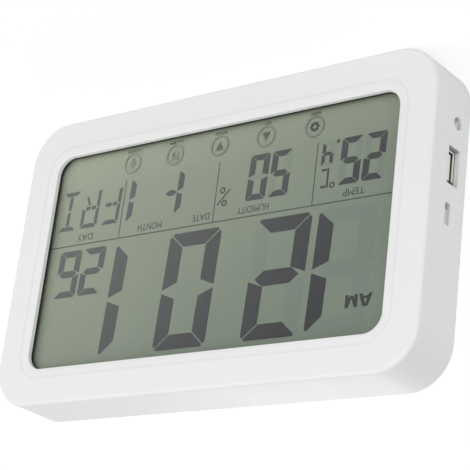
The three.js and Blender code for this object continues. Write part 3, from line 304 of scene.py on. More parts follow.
def makeFrameDistance():  # how far a point lies outside a rounded rectangle seen from the front, in mm
    group, given, out = startGroup(
        "frameDistance",
        [("Vector", "Vector", None), ("Half Width", "Float", 80.0), ("Half Height", "Float", 40.0),
         ("Middle Height", "Float", 62.0), ("Corner", "Float", 8.0)],
        [("Distance", "Float")])
    x, z = acrossAndUp(group, given["Vector"])
    across = calc(group, "ABSOLUTE", times(group, x, 1000))
    up = minus(group, times(group, z, 1000), given["Middle Height"])
    up = calc(group, "ABSOLUTE", up)
    qx = calc(group, "ADD", minus(group, across, given["Half Width"]), given["Corner"])
    qz = calc(group, "ADD", minus(group, up, given["Half Height"]), given["Corner"])
    outer = hypotenuse(group, calc(group, "MAXIMUM", qx, 0), calc(group, "MAXIMUM", qz, 0))
    inner = calc(group, "MINIMUM", calc(group, "MAXIMUM", qx, qz), 0)
    distance = minus(group, calc(group, "ADD", outer, inner), given["Corner"])
    group.links.new(distance, out["Distance"])
    return group


def makeDrawnLines():  # the fine lines that rolling or drawing leaves in metal
    group, given, out = startGroup(
        "drawnLines",
        [("Vector", "Vector", None), ("Fineness", "Float", 900.0)],
        [("Height", "Float"), ("Tarnish", "Float")])
    stain = noise(group, given["Vector"], 90, 5)
    group.links.new(noise(group, given["Vector"], given["Fineness"], 4, 0.7), out["Height"])
    group.links.new(spread(group, stain, 0, 1, 0.4, 0.7), out["Tarnish"])
    return group


mouldGrain = makeMouldGrain()
rubbedEdge = makeRubbedEdge()
frameDistance = makeFrameDistance()
drawnLines = makeDrawnLines()


def paint(shader, tone):
    feed(shader, "Base Color", tone)


def startMaterial(name):
    material = bpy.data.materials.new(name)
    material.use_nodes = True
    tree = material.node_tree
    return material, tree, tree.nodes["Principled BSDF"]


def plasticFinish(name, look):
    material, tree, shader = startMaterial(name)
    place = objectPlace(tree)
    grain = useGroup(tree, mouldGrain, {
        "Vector": place, "Grain Size": look["grain"], "Mottle Size": look["mottle"]})
    edge = useGroup(tree, rubbedEdge, {"Vector": place, "Radius": look["edge"] * mm})
    tone = blend(tree, grain["Mottle"], look["colour"], look["shade"])
    tone = blend(tree, times(tree, edge["Mask"], look["wear"]), tone, look["rubbed"])
    tone = blend(tree, times(tree, grain["Speckle"], look["dust"]), tone, look["dustColour"])
    paint(shader, tone)
    rough = spread(tree, grain["Mottle"], look["rough"] - 0.04, look["rough"] + 0.05)
    feed(shader, "Roughness", minus(tree, rough, times(tree, edge["Mask"], 0.08)))
    addBump(shader, grain["Height"], look["bump"], look["depth"] * mm, edge["Normal"])
    feed(shader, "IOR", 1.5)
    feed(shader, "Specular IOR Level", look["shine"])
    return material, tree, shader, tone


def metalFinish(name, look):
    material, tree, shader = startMaterial(name)
    place = objectPlace(tree, scale=look["stretch"])
    lines = useGroup(tree, drawnLines, {"Vector": place, "Fineness": look["fineness"]})
    edge = useGroup(tree, rubbedEdge, {"Vector": place, "Radius": look["edge"] * mm})
    tone = blend(tree, lines["Tarnish"], look["colour"], look["shade"])
    tone = blend(tree, times(tree, edge["Mask"], 0.5), tone, look["rubbed"])
    paint(shader, tone)
    feed(shader, "Roughness", spread(tree, lines["Tarnish"], look["rough"], look["rough"] + 0.14))
    addBump(shader, lines["Height"], look["bump"], 0.00002, edge["Normal"])
    feed(shader, "Metallic", look["metal"])
    return material, tree, shader, tone


def variant(look, **changes):
    return {**look, **changes}


def grey(value):
    return (value, value, value)


whiteLook = {
    "colour": grey(0.8), "shade": (0.785, 0.785, 0.786), "rubbed": grey(0.85), "wear": 0.5,
    "grain": 0.45, "mottle": 45, "edge": 0.3, "rough": 0.46, "bump": 0.22, "depth": 0.03,
    "dust": 0.05, "dustColour": (0.62, 0.61, 0.58), "shine": 0.4}
steelLook = {
    "colour": (0.56, 0.56, 0.57), "shade": (0.42, 0.42, 0.43), "rubbed": grey(0.75), "rough": 0.26,
    "bump": 0.15, "stretch": (1, 8, 1), "fineness": 900, "edge": 0.15, "metal": 1.0}


def plastic(name, colour, shade=whiteLook["shade"], **changes):
    return plasticFinish(name, variant(whiteLook, colour=colour, shade=shade, **changes))[0]


def metal(name, colour=steelLook["colour"], shade=steelLook["shade"], **changes):
    return metalFinish(name, variant(steelLook, colour=colour, shade=shade, **changes))[0]


def placeAlong(tree, axis):  # one object coordinate, in mm
    parts = addNode(tree, "ShaderNodeSeparateXYZ", {0: objectPlace(tree)})
    return times(tree, parts.outputs["XYZ".index(axis)], 1000)


def farFrom(tree, axis, middle):  # how far off the middle lies, in mm, along one axis and up
    across = minus(tree, placeAlong(tree, axis), middle[0])
    return hypotenuse(tree, across, minus(tree, placeAlong(tree, "Z"), middle[1]))


# painted shade: a darker line along the crease where the window's bevel starts, sizes in mm
creasePaintedShade = {
    "halfWidth": 88.6, "halfHeight": 50.5, "corner": 11.4, "sharp": 0.1, "fades": 0.85, "strength": 0.23,
    "colour": (0.58, 0.58, 0.575)}
usbWallPaintedShade = {  # painted shade on the lower wall of the socket's cut-out, in mm
    "deep": 3.05, "reach": 3.9, "height": 36.9, "thick": 0.5, "mouth": -100.15, "dark": -99.6, "inner": -95,
    "strength": 0.7, "colour": (0.22, 0.22, 0.215)}


def windowDistance(tree, look):  # mm outside a rounded rectangle about the middle of the window
    return useGroup(tree, frameDistance, {
        "Vector": objectPlace(tree), "Half Width": look["halfWidth"], "Half Height": look["halfHeight"],
        "Middle Height": windowMiddle, "Corner": look["corner"]})["Distance"]


def makeCasePlastic():  # white mould, with painted shade along the crease where the bevel starts and on the socket's lower wall
    material, tree, shader, tone = plasticFinish("case_plastic_white", whiteLook)
    look = creasePaintedShade
    near = calc(tree, "ABSOLUTE", windowDistance(tree, look))
    near = ease(tree, near, 1, 0, look["sharp"], look["fades"])
    x, y, z = (placeAlong(tree, axis) for axis in "XYZ")
    # painted shade: the crease is painted darker
    crease = times(tree, near, calc(tree, "LESS_THAN", y, faceY + 1))
    tone = blend(tree, times(tree, crease, look["strength"]), tone, look["colour"])
    # painted shade on the lower wall of the socket's cut-out
    look = usbWallPaintedShade
    wall = times(tree, calc(tree, "COMPARE", y, look["deep"], look["reach"]),
                 calc(tree, "COMPARE", z, look["height"], look["thick"]))
    inside = times(tree, spread(tree, x, 0, 1, look["mouth"], look["dark"]),
                   calc(tree, "LESS_THAN", x, look["inner"]))
    shaded = times(tree, times(tree, wall, inside), look["strength"])
    paint(shader, blend(tree, shaded, tone, look["colour"]))
    return material


socketPaintedShade = {"lowEnd": (39.2, 41.5), "lowTone": 0.2, "topFade": 0.3}  # painted shade, blacker towards the socket's lower end: heights in mm, and a share


def paintedSocketShade(finish, name, look):  # painted shade: a socket is painted dark past its mouth and beyond its upper end, given in mm
    material, tree, shader, tone = finish(name, look)
    x, z = (placeAlong(tree, axis) for axis in "XZ")
    inside = ease(tree, x, 0, 1, look["mouth"], look["mouth"] + look["fade"])
    high = ease(tree, z, 0, 1, look["topEnd"], look["topEnd"] + socketPaintedShade["topFade"])
    low = ease(tree, z, socketPaintedShade["lowTone"], 1, *socketPaintedShade["lowEnd"])
    dark = blend(tree, low, grey(0), look["deep"])
    paint(shader, blend(tree, calc(tree, "MAXIMUM", inside, high), tone, dark))
    feed(shader, "Specular IOR Level", 0.2)
    return material


def buttonPaintedShadeFinish(name, look):  # painted shade: the cap is painted darker where it lies under the rim of its hole
    material, tree, shader, tone = plasticFinish(name, look)
    far = farFrom(tree, "Y", look["middle"])
    under = ease(tree, far, 0, look["rimShade"], *look["rimAt"])
    paint(shader, blend(tree, under, tone, grey(0.2)))
    return material


def cellFinish(name, look, plusEnd, minusEnd):  # printed sleeve with a band, and both ends bare
    material, tree, shader, tone = plasticFinish(name, look)
    side = 1 if plusEnd > minusEnd else -1
    along = minus(tree, placeAlong(tree, "X"), plusEnd)
    along = times(tree, along, -side)  # mm from the plus end
    start, end = look["bandEnds"]
    band = times(tree, calc(tree, "GREATER_THAN", along, start), calc(tree, "LESS_THAN", along, end))
    line = calc(tree, "COMPARE", along, look["lineAt"], look["lineHalf"])
    tone = blend(tree, calc(tree, "MAXIMUM", band, line), tone, look["band"])
    minusRim = calc(tree, "GREATER_THAN", along, abs(plusEnd - minusEnd) - look["minusRim"])
    bare = calc(tree, "MAXIMUM", calc(tree, "LESS_THAN", along, look["plusRim"]), minusRim)
    paint(shader, blend(tree, bare, tone, look["bare"]))
    feed(shader, "Metallic", bare)
    return material


boardPattern = {"tracks": 190, "trackAt": 0.1, "trackHalf": 0.035, "dots": 210, "dotSize": 0.13}


def boardFinish(name, look):  # green lacquer over copper tracks, with tinned dots
    material, tree, shader, tone = plasticFinish(name, look)
    place = objectPlace(tree)
    tracks = addNode(tree, "ShaderNodeTexVoronoi", {
        "Vector": place, "Scale": boardPattern["tracks"], "Randomness": 0.8}, feature="DISTANCE_TO_EDGE")
    track = calc(
        tree, "COMPARE", tracks.outputs["Distance"], boardPattern["trackAt"], boardPattern["trackHalf"])
    dots = addNode(tree, "ShaderNodeTexVoronoi", {
        "Vector": place, "Scale": boardPattern["dots"], "Randomness": 0.3})
    dot = calc(tree, "LESS_THAN", dots.outputs["Distance"], boardPattern["dotSize"])
    tone = blend(tree, times(tree, track, 0.6), tone, look["track"])
    paint(shader, blend(tree, dot, tone, look["solder"]))
    feed(shader, "Metallic", times(tree, dot, 0.9))
    return material


def sounderFinish(name, look):  # brass plate with a silvered ceramic disc on it
    material, tree, shader, tone = metalFinish(name, look)
    far = farFrom(tree, "X", look["middle"])
    for radius, colour in look["discs"]:
        tone = blend(tree, calc(tree, "LESS_THAN", far, radius), tone, colour)
    paint(shader, tone)
    return material


displayLook = {  # painted light: the tone slides from dark to light across and down the display, with a painted lighter foot and painted shade at the border
    "light": (0.348, 0.379, 0.289), "dark": (0.110, 0.147, 0.117), "border": (0.05, 0.058, 0.046),
    "fibre": (0.14, 0.16, 0.13), "resting": (0.10, 0.145, 0.155),
    "slideX": 2.62, "slideZ": -4.1, "slideStart": 0.742, "slideLeast": 0.25, "haze": 0.12,
    "paintedFootLight": 0.13, "paintedFootRange": (0.016, 0.036), "halfWidth": 84.7, "halfHeight": 46.6, "corner": 7.5,
    "rim": 0.42, "rimRange": (-1.3, 0.5), "footRim": 0.55, "footRimRange": (0.0165, 0.019),
    "restLeast": 0.12, "restRange": (-0.045, 0.01)}


def slideOver(tree, x, z, look, clamp=False):  # a value that changes evenly across and up
    slide = calc(tree, "MULTIPLY_ADD", x, look["slideX"], look["slideStart"])
    return calc(tree, "MULTIPLY_ADD", z, look["slideZ"], slide, clamp=clamp)


def makeDisplayFace(name, dim):  # grey-green polariser over the reflector, with painted light and painted shade laid over its tone
    look = displayLook
    material, tree, shader = startMaterial(name)
    place = objectPlace(tree)
    x, z = acrossAndUp(tree, place)
    # painted light: a slide of tone across and down the display
    slide = calc(tree, "SMOOTH_MAX", slideOver(tree, x, z, look), look["slideLeast"], 0.12)
    # painted light: a lighter band at the display's foot
    footLightPainted = ease(tree, z, look["paintedFootLight"], 0, *look["paintedFootRange"])
    haze = minus(tree, noise(tree, place, 14, 3), 0.5)
    slide = calc(tree, "MULTIPLY_ADD", haze, look["haze"], calc(tree, "ADD", slide, footLightPainted), clamp=True)
    tone = blend(tree, slide, look["dark"], look["light"])
    weave = noise(tree, place, 2600, 2)
    tone = blend(tree, spread(tree, weave, 0, 0.05, 0.3, 0.7), tone, look["fibre"])
    # darker towards the border: the sealed border's dark edge, with painted shade from the window's lip,
    # less at the foot
    rim = ease(tree, windowDistance(tree, look), 0, look["rim"], *look["rimRange"])
    rim = times(tree, rim, spread(tree, z, look["footRim"], 1, *look["footRimRange"]))
    tone = blend(tree, rim, tone, look["border"])
    dimmed = ease(tree, x, dim, dim * look["restLeast"], *look["restRange"])
    paint(shader, blend(tree, dimmed, tone, look["resting"]))
    feed(shader, "Roughness", spread(tree, weave, 0.2, 0.27))
    addBump(shader, weave, 0.03, 0.00001)
    return material


def makeClearCover(name, tint, gloss, mirror):  # thin clear plastic that mirrors a little
    material, tree, shader = startMaterial(name)
    rub = noise(tree, objectPlace(tree), 26, 6, twist=0.6)
    feed(shader, "Roughness", spread(tree, rub, gloss, gloss + 0.05, 0.4, 0.75))
    paint(shader, blend(tree, rub, (0.97, 0.98, 0.98), (0.9, 0.92, 0.92)))
    feed(shader, "Metallic", 1.0)
    clear = addNode(tree, "ShaderNodeBsdfTransparent", {"Color": (*tint, 1)})
    bounce = addNode(tree, "ShaderNodeFresnel", {"IOR": 1.46})
    back = addNode(tree, "ShaderNodeNewGeometry").outputs["Backfacing"]
    share = times(tree, bounce.outputs[0], minus(tree, 1, back))
    share = times(tree, share, mirror)
    mix = addNode(tree, "ShaderNodeMixShader", {0: share, 1: clear.outputs[0], 2: shader.outputs[0]})
    feed(tree.nodes["Material Output"], "Surface", mix.outputs[0])
    return material


# painted light: how the inks pale across and down the display
inkPaintedLight = {"slideX": 4.58, "slideZ": -4.17, "slideStart": 0.692}


def makeInk(name, colour, shade, speck, pale, rough=0.24):  # painted light: the ink is painted paler across and down the display, as the display face's tone slides
    material, tree, shader = startMaterial(name)
    place = objectPlace(tree)
    dots = noise(tree, place, 1500, 3)
    slow = spread(tree, noise(tree, place, 30, 3), 0, 1, 0.3, 0.7)
    tone = blend(tree, slow, colour, shade)
    tone = blend(tree, spread(tree, dots, 0, 0.25, 0.35, 0.7), tone, speck)
    slide = slideOver(tree, *acrossAndUp(tree, place), inkPaintedLight, clamp=True)
    paint(shader, blend(tree, slide, tone, pale))
    feed(shader, "Roughness", spread(tree, dots, rough - 0.05, rough + 0.05))
    addBump(shader, dots, 0.03, 0.00001)
    return material


segmentInk = makeInk(
    "segment_dark", (0.01, 0.01, 0.014), (0.017, 0.017, 0.021), (0.022, 0.024, 0.026), (0.129, 0.13, 0.134))
ghostInk = makeDisplayFace("segment_resting", 0.25)
legendInk = makeInk(
    "legend_print", (0.02, 0.022, 0.022), (0.028, 0.03, 0.029), (0.035, 0.038, 0.036), (0.07, 0.075, 0.07))
lineInk = makeInk(
    "divider_print", (0.05, 0.056, 0.046), (0.06, 0.066, 0.054), (0.07, 0.08, 0.065), (0.09, 0.10, 0.08))
touchSpeck = (0.12, 0.135, 0.115)
touchInk = makeInk(
    "touch_mark_print", (0.095, 0.11, 0.092), (0.11, 0.125, 0.105), touchSpeck, (0.265, 0.295, 0.235), 0.3)
glyphInk = makeInk(
    "touch_glyph_print", (0.045, 0.052, 0.046), (0.055, 0.062, 0.055), touchSpeck, (0.13, 0.15, 0.125), 0.3)

cellLook = variant(
    whiteLook, colour=(0.10, 0.13, 0.17), shade=(0.12, 0.15, 0.19), rubbed=(0.4, 0.42, 0.45), rough=0.3,
    band=(0.58, 0.60, 0.62), bandEnds=(3.2, 13.5), lineAt=14.6, lineHalf=0.35, plusRim=1.7, minusRim=0.5,
    bare=(0.62, 0.61, 0.59), grain=0.15, bump=0.05)
turnedCell = cellFinish("cell_sleeve_plus_left", cellLook, 24.5, -20.8)
finishes = {
    "case_plastic": makeCasePlastic(),
    "display_polariser": makeDisplayFace("display_polariser_green", 0.0),
    "lens_clear": makeClearCover("lens_clear_plastic", (0.99, 0.995, 0.99), 0.03, 0.08),
    "touch_film": makeClearCover("touch_film_clear", (0.996, 0.998, 0.997), 0.08, 0.1),
    "cover_plastic": plastic(
        "cover_plastic_white", (0.77, 0.77, 0.765), (0.75, 0.75, 0.745), grain=0.7, bump=0.35),
    "door_plastic": plastic("door_plastic_white", (0.785, 0.785, 0.78), grain=0.6, bump=0.3),
    "stand_plastic": plastic("stand_plastic_white", (0.775, 0.775, 0.77), grain=0.6, bump=0.3),
    "gasket_foam": plastic(
        "gasket_foam_black", (0.018, 0.018, 0.019), grey(0.026), rubbed=grey(0.05), grain=0.3,
        rough=0.85, bump=0.6, depth=0.08, dust=0.3, dustColour=(0.08, 0.08, 0.075), shine=0.15),
    "knob_plastic": plastic("knob_plastic_grey", grey(0.57), grey(0.54), rubbed=grey(0.62), grain=0.25),
    # painted shade on the button cap, under its hole's rim
    "button_plastic": buttonPaintedShadeFinish("button_plastic_grey", variant(
        whiteLook, colour=(0.63, 0.63, 0.635), shade=(0.60, 0.60, 0.605), rubbed=grey(0.68),
        grain=0.25, rough=0.38, middle=(5.3, 27.4), rimShade=0.75, rimAt=(1.5, 2.2))),
    # painted shade inside the socket, on the tongue
    "usb_plastic": paintedSocketShade(plasticFinish, "usb_tongue_plastic", variant(
        whiteLook, colour=(0.86, 0.87, 0.78), shade=(0.8, 0.81, 0.72), grain=0.2, rough=0.4, edge=0.1,
        mouth=-97.55, fade=0.35, deep=(0.10, 0.10, 0.085), topEnd=48.5)),
    "holder_plastic": plastic("holder_plastic_white", (0.7, 0.7, 0.69), rough=0.55),
    "sensor_plastic": plastic("sensor_plastic_white", (0.66, 0.68, 0.7)),
    "switch_black": plastic(
        "switch_plastic_black", (0.02, 0.02, 0.021), (0.028, 0.028, 0.029), rubbed=grey(0.07),
        dustColour=grey(0.1), grain=0.25),
    "zebra_rubber": plastic(
        "zebra_rubber_grey", (0.05, 0.05, 0.055), (0.08, 0.08, 0.085), rubbed=grey(0.1), rough=0.7),
    "display_glass": plastic(
        "display_glass_edge", (0.30, 0.36, 0.32), (0.26, 0.32, 0.28), rough=0.12, bump=0.03),
    "reflector_film": plastic(
        "reflector_film_silver", (0.62, 0.63, 0.62), (0.56, 0.57, 0.56), rough=0.28, bump=0.08),
    "guide_clear": plastic(
        "guide_plastic_clear", (0.74, 0.78, 0.80), (0.7, 0.75, 0.77), rough=0.15, bump=0.05),
    "led_strip": plastic("led_strip_white", (0.82, 0.81, 0.70), (0.78, 0.74, 0.55), mottle=6, rough=0.4),
    "epoxy_black": plastic(
        "epoxy_black_gloss", (0.012, 0.012, 0.013), grey(0.02), rubbed=grey(0.03), dustColour=grey(0.06),
        grain=2.5, mottle=9, rough=0.22, bump=0.3, depth=0.1),
    "capacitor_sleeve": plastic(
        "capacitor_sleeve_black", (0.02, 0.022, 0.035), (0.03, 0.032, 0.045), rubbed=(0.2, 0.2, 0.22),
        dustColour=grey(0.1), rough=0.3),
    "cell_sleeve": cellFinish("cell_sleeve_plus_right", cellLook, -24.5, 20.8),
    "board_laminate": boardFinish("board_laminate_green", variant(
        whiteLook, colour=(0.02, 0.12, 0.05), shade=(0.03, 0.16, 0.07), rubbed=(0.3, 0.3, 0.2), rough=0.35,
        track=(0.08, 0.3, 0.14), solder=(0.6, 0.6, 0.58))),
    "lead_red": plastic(
        "lead_sleeve_red", (0.52, 0.02, 0.018), (0.42, 0.016, 0.016), rubbed=(0.6, 0.1, 0.08), rough=0.35),
    "lead_black": plastic(
        "lead_sleeve_black", (0.015, 0.015, 0.016), (0.022, 0.022, 0.023), rubbed=grey(0.06), rough=0.35),
    # painted shade inside the socket, on the shell
    "usb_nickel": paintedSocketShade(metalFinish, "usb_shell_nickel", variant(
        steelLook, colour=(0.95, 0.945, 0.92), shade=(0.88, 0.87, 0.84), rubbed=(0.97, 0.97, 0.96),
        rough=0.34, stretch=(1, 6, 1), metal=0.4, mouth=-98.1, fade=0.3, deep=(0.11, 0.108, 0.095),
        topEnd=48.8)),
    "contact_gold": metal(
        "contact_gold_plate", (0.85, 0.62, 0.25), (0.7, 0.48, 0.18), rubbed=(0.95, 0.78, 0.45)),
    "switch_steel": metal("switch_frame_steel"),
    "contact_nickel": metal("contact_nickel_plate", (0.66, 0.65, 0.62), (0.5, 0.49, 0.47), rough=0.2),
    "screw_steel": metal("screw_steel_zinc", (0.5, 0.5, 0.52), stretch=(3, 3, 3)),
    "crystal_can": metal("crystal_can_tin", grey(0.7), rough=0.2),
    "sounder_brass": sounderFinish("sounder_disc_brass", variant(
        steelLook, colour=(0.62, 0.45, 0.18), shade=(0.5, 0.35, 0.13), rubbed=(0.8, 0.62, 0.3),
        stretch=(2, 2, 2), middle=(62, 40), discs=((9.8, (0.55, 0.5, 0.42)), (9.2, (0.72, 0.72, 0.71))))),
}
print("materials made:", len(finishes))


# The carried-over shapes: each node's copy is made one skin, so that round places shade round

def dress(piece, body, slotName, material=None):
    piece.data.materials.clear()
    piece.data.materials.append(material or finishes[slotName])
    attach(piece, body)
    return piece


slotNames = {name: cadNode.data.materials[0].name for name, cadNode in cadNodes.items()}
for name, cadNode in cadNodes.items():
    cadNode.data.materials.clear()
    cadNode.data.materials.append(finishes[slotNames[name]])


carried = []


def carry(nodeName, pieceName, angle=28, shape=None, material=None):
    piece = mergedCopy(nodeName, pieceName)
    if shape:
        shape(piece)
    smoothed(piece, angle)
    dress(piece, cadNodes[nodeName]["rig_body"], slotNames[nodeName], material)
    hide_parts(nodeName)
    carried.append(piece)


caseValues = {
    "lipRound": 0.1, "portRound": 0.18, "lipDepth": 0.75, "lipWithin": 86, "lipHeights": (14, 110),
    "endX": 100.0, "endDraft": 0.43, "caseDepth": 23.4, "portHeights": (23, 69), "portDepths": (9, 21)}


def between(value, limits):
    return limits[0] < value < limits[1]


def shapeCase(piece):  # rounds the lip of the window and the edges of the three ports
    values = caseValues
    lipY = faceY + values["lipDepth"]

    def onLip(a, b):
        level = abs(a.y - lipY) < 0.02 and abs(b.y - lipY) < 0.02
        return level and abs(a.x) < values["lipWithin"] and between(a.z, values["lipHeights"])

    def onEnd(v):
        depth = v.y - faceY
        wall = -(values["endX"] + values["endDraft"] * depth / values["caseDepth"])
        within = between(v.z, values["portHeights"]) and between(depth, values["portDepths"])
        return abs(v.x - wall) < 0.03 and within

    roundEdges(piece, values["lipRound"], 2, onLip)
    roundEdges(piece, values["portRound"], 2, lambda a, b: onEnd(a) and onEnd(b))


carry("front_case", "case_shell", shape=shapeCase)
carry("back_cover", "cover_shell")
carry("battery_door", "door_panel")
carry("stand_leg", "stand_panel")
knobValues = {"floors": (0.1, 0.6), "raise": 0.34, "merge": 0.03, "flat": 3}  # mm, and an angle in degrees


def shapeKnob(piece):  # the grip grooves filled, as the real one shows none
    low = min(v.co.x for v in piece.data.vertices)
    selectParts(piece, "vertices", lambda vert: between((vert.co.x - low) / mm, knobValues["floors"]))
    bpy.ops.transform.translate(value=(-knobValues["raise"] * mm, 0, 0))
    bpy.ops.mesh.select_all(action="SELECT")
    bpy.ops.mesh.remove_doubles(threshold=knobValues["merge"] * mm)
    bpy.ops.mesh.dissolve_limited(angle_limit=math.radians(knobValues["flat"]))
    leaveEdit()


carry("slide_switch_knob", "switch_knob_cap", shape=shapeKnob)
windowFoot = 0.0155  # m, just under the window


def shapeFilm(piece):  # cuts off the clear part in the window, which can't be seen and would lie flush
    editAll(piece)
    bpy.ops.mesh.bisect(
        plane_co=(0, 0, windowFoot), plane_no=(0, 0, 1), clear_outer=True, use_fill=True, threshold=1e-7)
    leaveEdit()


carry("touch_sensor_film", "touch_film_sheet", shape=shapeFilm)
carriedPieces = [
    ("window_gasket", "gasket_frame"), ("usb_shell", "usb_shell_skin"), ("usb_insulator", "usb_tongue"),
    ("push_button_cap", "button_cap"), ("slide_switch_frame", "switch_can"),
    ("tact_switch_plunger", "tact_stem"), ("tact_switch_body", "tact_base"),
    ("battery_cell_1", "cell_body_1"), ("battery_cell_3", "cell_body_3"),
    ("battery_contact_positive", "bay_plate_positive"), ("battery_contact_negative", "bay_spring_negative"),
    ("battery_bridge_right", "bay_bridge_right"), ("battery_bridge_left", "bay_bridge_left"),
    ("battery_lead_positive", "bay_lead_positive"), ("battery_lead_negative", "bay_lead_negative"),
    ("sounder_disc", "sounder_plate"), ("sounder_lead_1", "sounder_wire_1"),
    ("sounder_lead_2", "sounder_wire_2"),
    ("display_holder", "holder_tray"), ("controller_epoxy", "epoxy_drop"), ("clock_crystal", "crystal_tube"),
    ("smoothing_capacitor", "capacitor_can"), ("climate_sensor", "sensor_cage"),
    ("main_board", "board_plate"),
]
for kind, pieceKind, count in (("cover", "case", 4), ("board", "pcb", 3), ("holder", "tray", 2)):
    carriedPieces += [(f"{kind}_screw_{n}", f"{pieceKind}_screw_{n}") for n in range(1, count + 1)]
for nodeName, pieceName in carriedPieces:
    carry(nodeName, pieceName)
carry("battery_cell_2", "cell_body_2", material=turnedCell)
print("carried shapes:", len(carried))


# The display's segments: thin plates trimmed by cuts, one set for each size of digit

inkDepth = {"front": 4.26, "back": 4.29}  # mm behind the face, just in front of the polariser
ghostDepth = {"front": 4.275, "back": 4.292}
lean = 0.04


def thinPlate(name, x0, x1, z0, z1):
    deselectAll()
    bpy.ops.mesh.primitive_plane_add(size=1, rotation=(math.pi / 2, 0, 0))
    plate = bpy.context.object
    plate.scale = ((x1 - x0) * mm, (z1 - z0) * mm, 1)
    plate.location = ((x0 + x1) / 2 * mm, 0, (z0 + z1) / 2 * mm)
    return rename(applied(plate), name)


def trim(plate, first, second, keep):  # cuts the plate along a line and keeps the third point's side
    run = Vector((second[0] - first[0], second[1] - first[1]))
    outward = Vector((run.y, -run.x)).normalized()
    if outward.dot(Vector((keep[0] - first[0], keep[1] - first[1]))) > 0:
        outward = -outward
    editAll(plate)
    bpy.ops.mesh.bisect(
        plane_co=(first[0] * mm, 0, first[1] * mm), plane_no=(outward.x, 0, outward.y),
        clear_outer=True, threshold=1e-7)
    leaveEdit()


def pointed(x0, x1, slant, half):  # the cuts that bring both ends of a level bar to a point
    return [((x, 0), (x + run, s * half)) for x, run in ((x0, slant), (x1, -slant)) for s in (1, -1)]


segmentShape = {"rise": (0.11, 0.56), "tip": 0.39, "slant": 0.62, "middleBar": 0.515}  # shares of bar, post


def makeSegments(look):  # the seven plates of one digit; x runs back from its right edge, z from its middle
    w, h, bar, post, chip = (look[k] for k in ("width", "height", "bar", "post", "chip"))
    half, g, side = h / 2, look["gap"] / 2, -w / 2
    segments = {}

    def add(letter, sx, sz, box, cuts, keep):  # sx and sz mirror a plate described for the upper right
        def turned(point):
            return (side + (point[0] - side) * sx, point[1] * sz)
        (x0, z0), (x1, z1) = turned(box[0]), turned(box[1])
        plate = thinPlate("segment_" + letter, min(x0, x1), max(x0, x1), min(z0, z1), max(z0, z1))
        for first, second in cuts:
            trim(plate, turned(first), turned(second), turned(keep))
        segments[letter] = plate

    d = g * math.hypot(bar, post)  # how far half a gap moves a mitre along x and z
    mitreUp = ((0, half + d / post), (-post, half - bar + d / post))
    mitreDown = ((0, half - d / post), (-post, half - bar - d / post))
    chipLine = ((-chip, half), (0, half - chip))
    for letter, sz in (("a", 1), ("d", -1)):
        left = [(2 * side - x, z) for x, z in mitreUp]
        leftChip = [(2 * side - x, z) for x, z in chipLine]
        cuts = [mitreUp, left, chipLine, leftChip]
        add(letter, 1, sz, ((-w, half - bar), (0, half)), cuts, (side, half - bar / 2))
    riseFrom, riseTo = segmentShape["rise"]
    rise = ((0, riseFrom * bar), (-post, riseTo * bar))
    for letter, sx, sz in (("b", 1, 1), ("c", 1, -1), ("f", -1, 1), ("e", -1, -1)):
        add(letter, sx, sz, ((-post, 0), (0, half)), [mitreDown, chipLine, rise], (-post / 2, half * 0.6))
    tip, slant = segmentShape["tip"] * post, segmentShape["slant"] * bar
    thick = segmentShape["middleBar"] * bar
    add("g", 1, 1, ((-w, -thick), (0, thick)), pointed(tip - w, -tip, slant, bar / 2), (side, 0))
    return segments


litBy = {"0": "abcdef", "1": "bc", "2": "abged", "4": "fgbc", "5": "afgcd", "6": "afgedc"}


def leaning(tilt, right, middle):  # leans a flat plate and sets it on the display, in mm
    return Matrix(((1, 0, tilt, right * mm), (0, 1, 0, 0), (0, 0, 1, middle * mm), (0, 0, 0, 1)))


def placeDigit(segments, letters, right, middle, name):  # copies the chosen plates to their place
    parts = []
    for letter in letters:
        part = copyOf(segments[letter], name + "_" + letter)
        part.data.transform(leaning(lean, right, middle))
        parts.append(part)
    return parts


def thicken(parts, name, depth, slotName, material):  # flat plates become thin solids on the display
    flat = joined(parts, name)
    thick = (depth["back"] - depth["front"]) * mm
    editAll(flat)
    bpy.ops.mesh.remove_doubles(threshold=1e-7)
    bpy.ops.mesh.extrude_region_move(TRANSFORM_OT_translate={"value": (0, thick, 0)})
    bpy.ops.mesh.select_all(action="SELECT")
    bpy.ops.mesh.normals_make_consistent(inside=False)
    bpy.ops.transform.translate(value=(0, (faceY + depth["front"]) * mm, 0))
    leaveEdit()
    return dress(flat, "clock", slotName, material)


digitSizes = {
    "hours": {"width": 25.6, "height": 47.8, "bar": 6.0, "post": 7.0, "gap": 0.48, "chip": 2.0},
    "seconds": {"width": 12.0, "height": 20.3, "bar": 2.8, "post": 3.2, "gap": 0.24, "chip": 0.9},
    "values": {"width": 9.3, "height": 18.9, "bar": 2.5, "post": 2.9, "gap": 0.21, "chip": 0.8},
    "tenths": {"width": 5.2, "height": 9.5, "bar": 1.4, "post": 1.6, "gap": 0.16, "chip": 0.45},
}
displayDigits = [  # size, digit, right edge and middle, mm
    ("hours", "1", -50.35, 81.7), ("hours", "2", -21.65, 81.7), ("hours", "0", 20.65, 81.7),
    ("hours", "1", 48.85, 81.7),
    ("seconds", "2", 65.9, 68.0), ("seconds", "6", 79.1, 68.0),
    ("values", "2", -68.55, 39.5), ("values", "5", -58.1, 39.5), ("tenths", "4", -49.6, 35.2),
    ("values", "5", -26.2, 39.5), ("values", "0", -15.75, 39.5),
    ("values", "1", 19.75, 39.5), ("values", "1", 45.0, 39.5),
]
lit, resting = [], []
sets = {size: makeSegments(look) for size, look in digitSizes.items()}
for place, (size, digit, right, middle) in enumerate(displayDigits):
    on = litBy[digit]
    lit += placeDigit(sets[size], on, right, middle, f"digit_{place}")
    resting += placeDigit(sets[size], [s for s in "abcdefg" if s not in on], right, middle, f"rest_{place}")
for size in sets.values():
    for plate in size.values():
        bpy.data.objects.remove(plate)


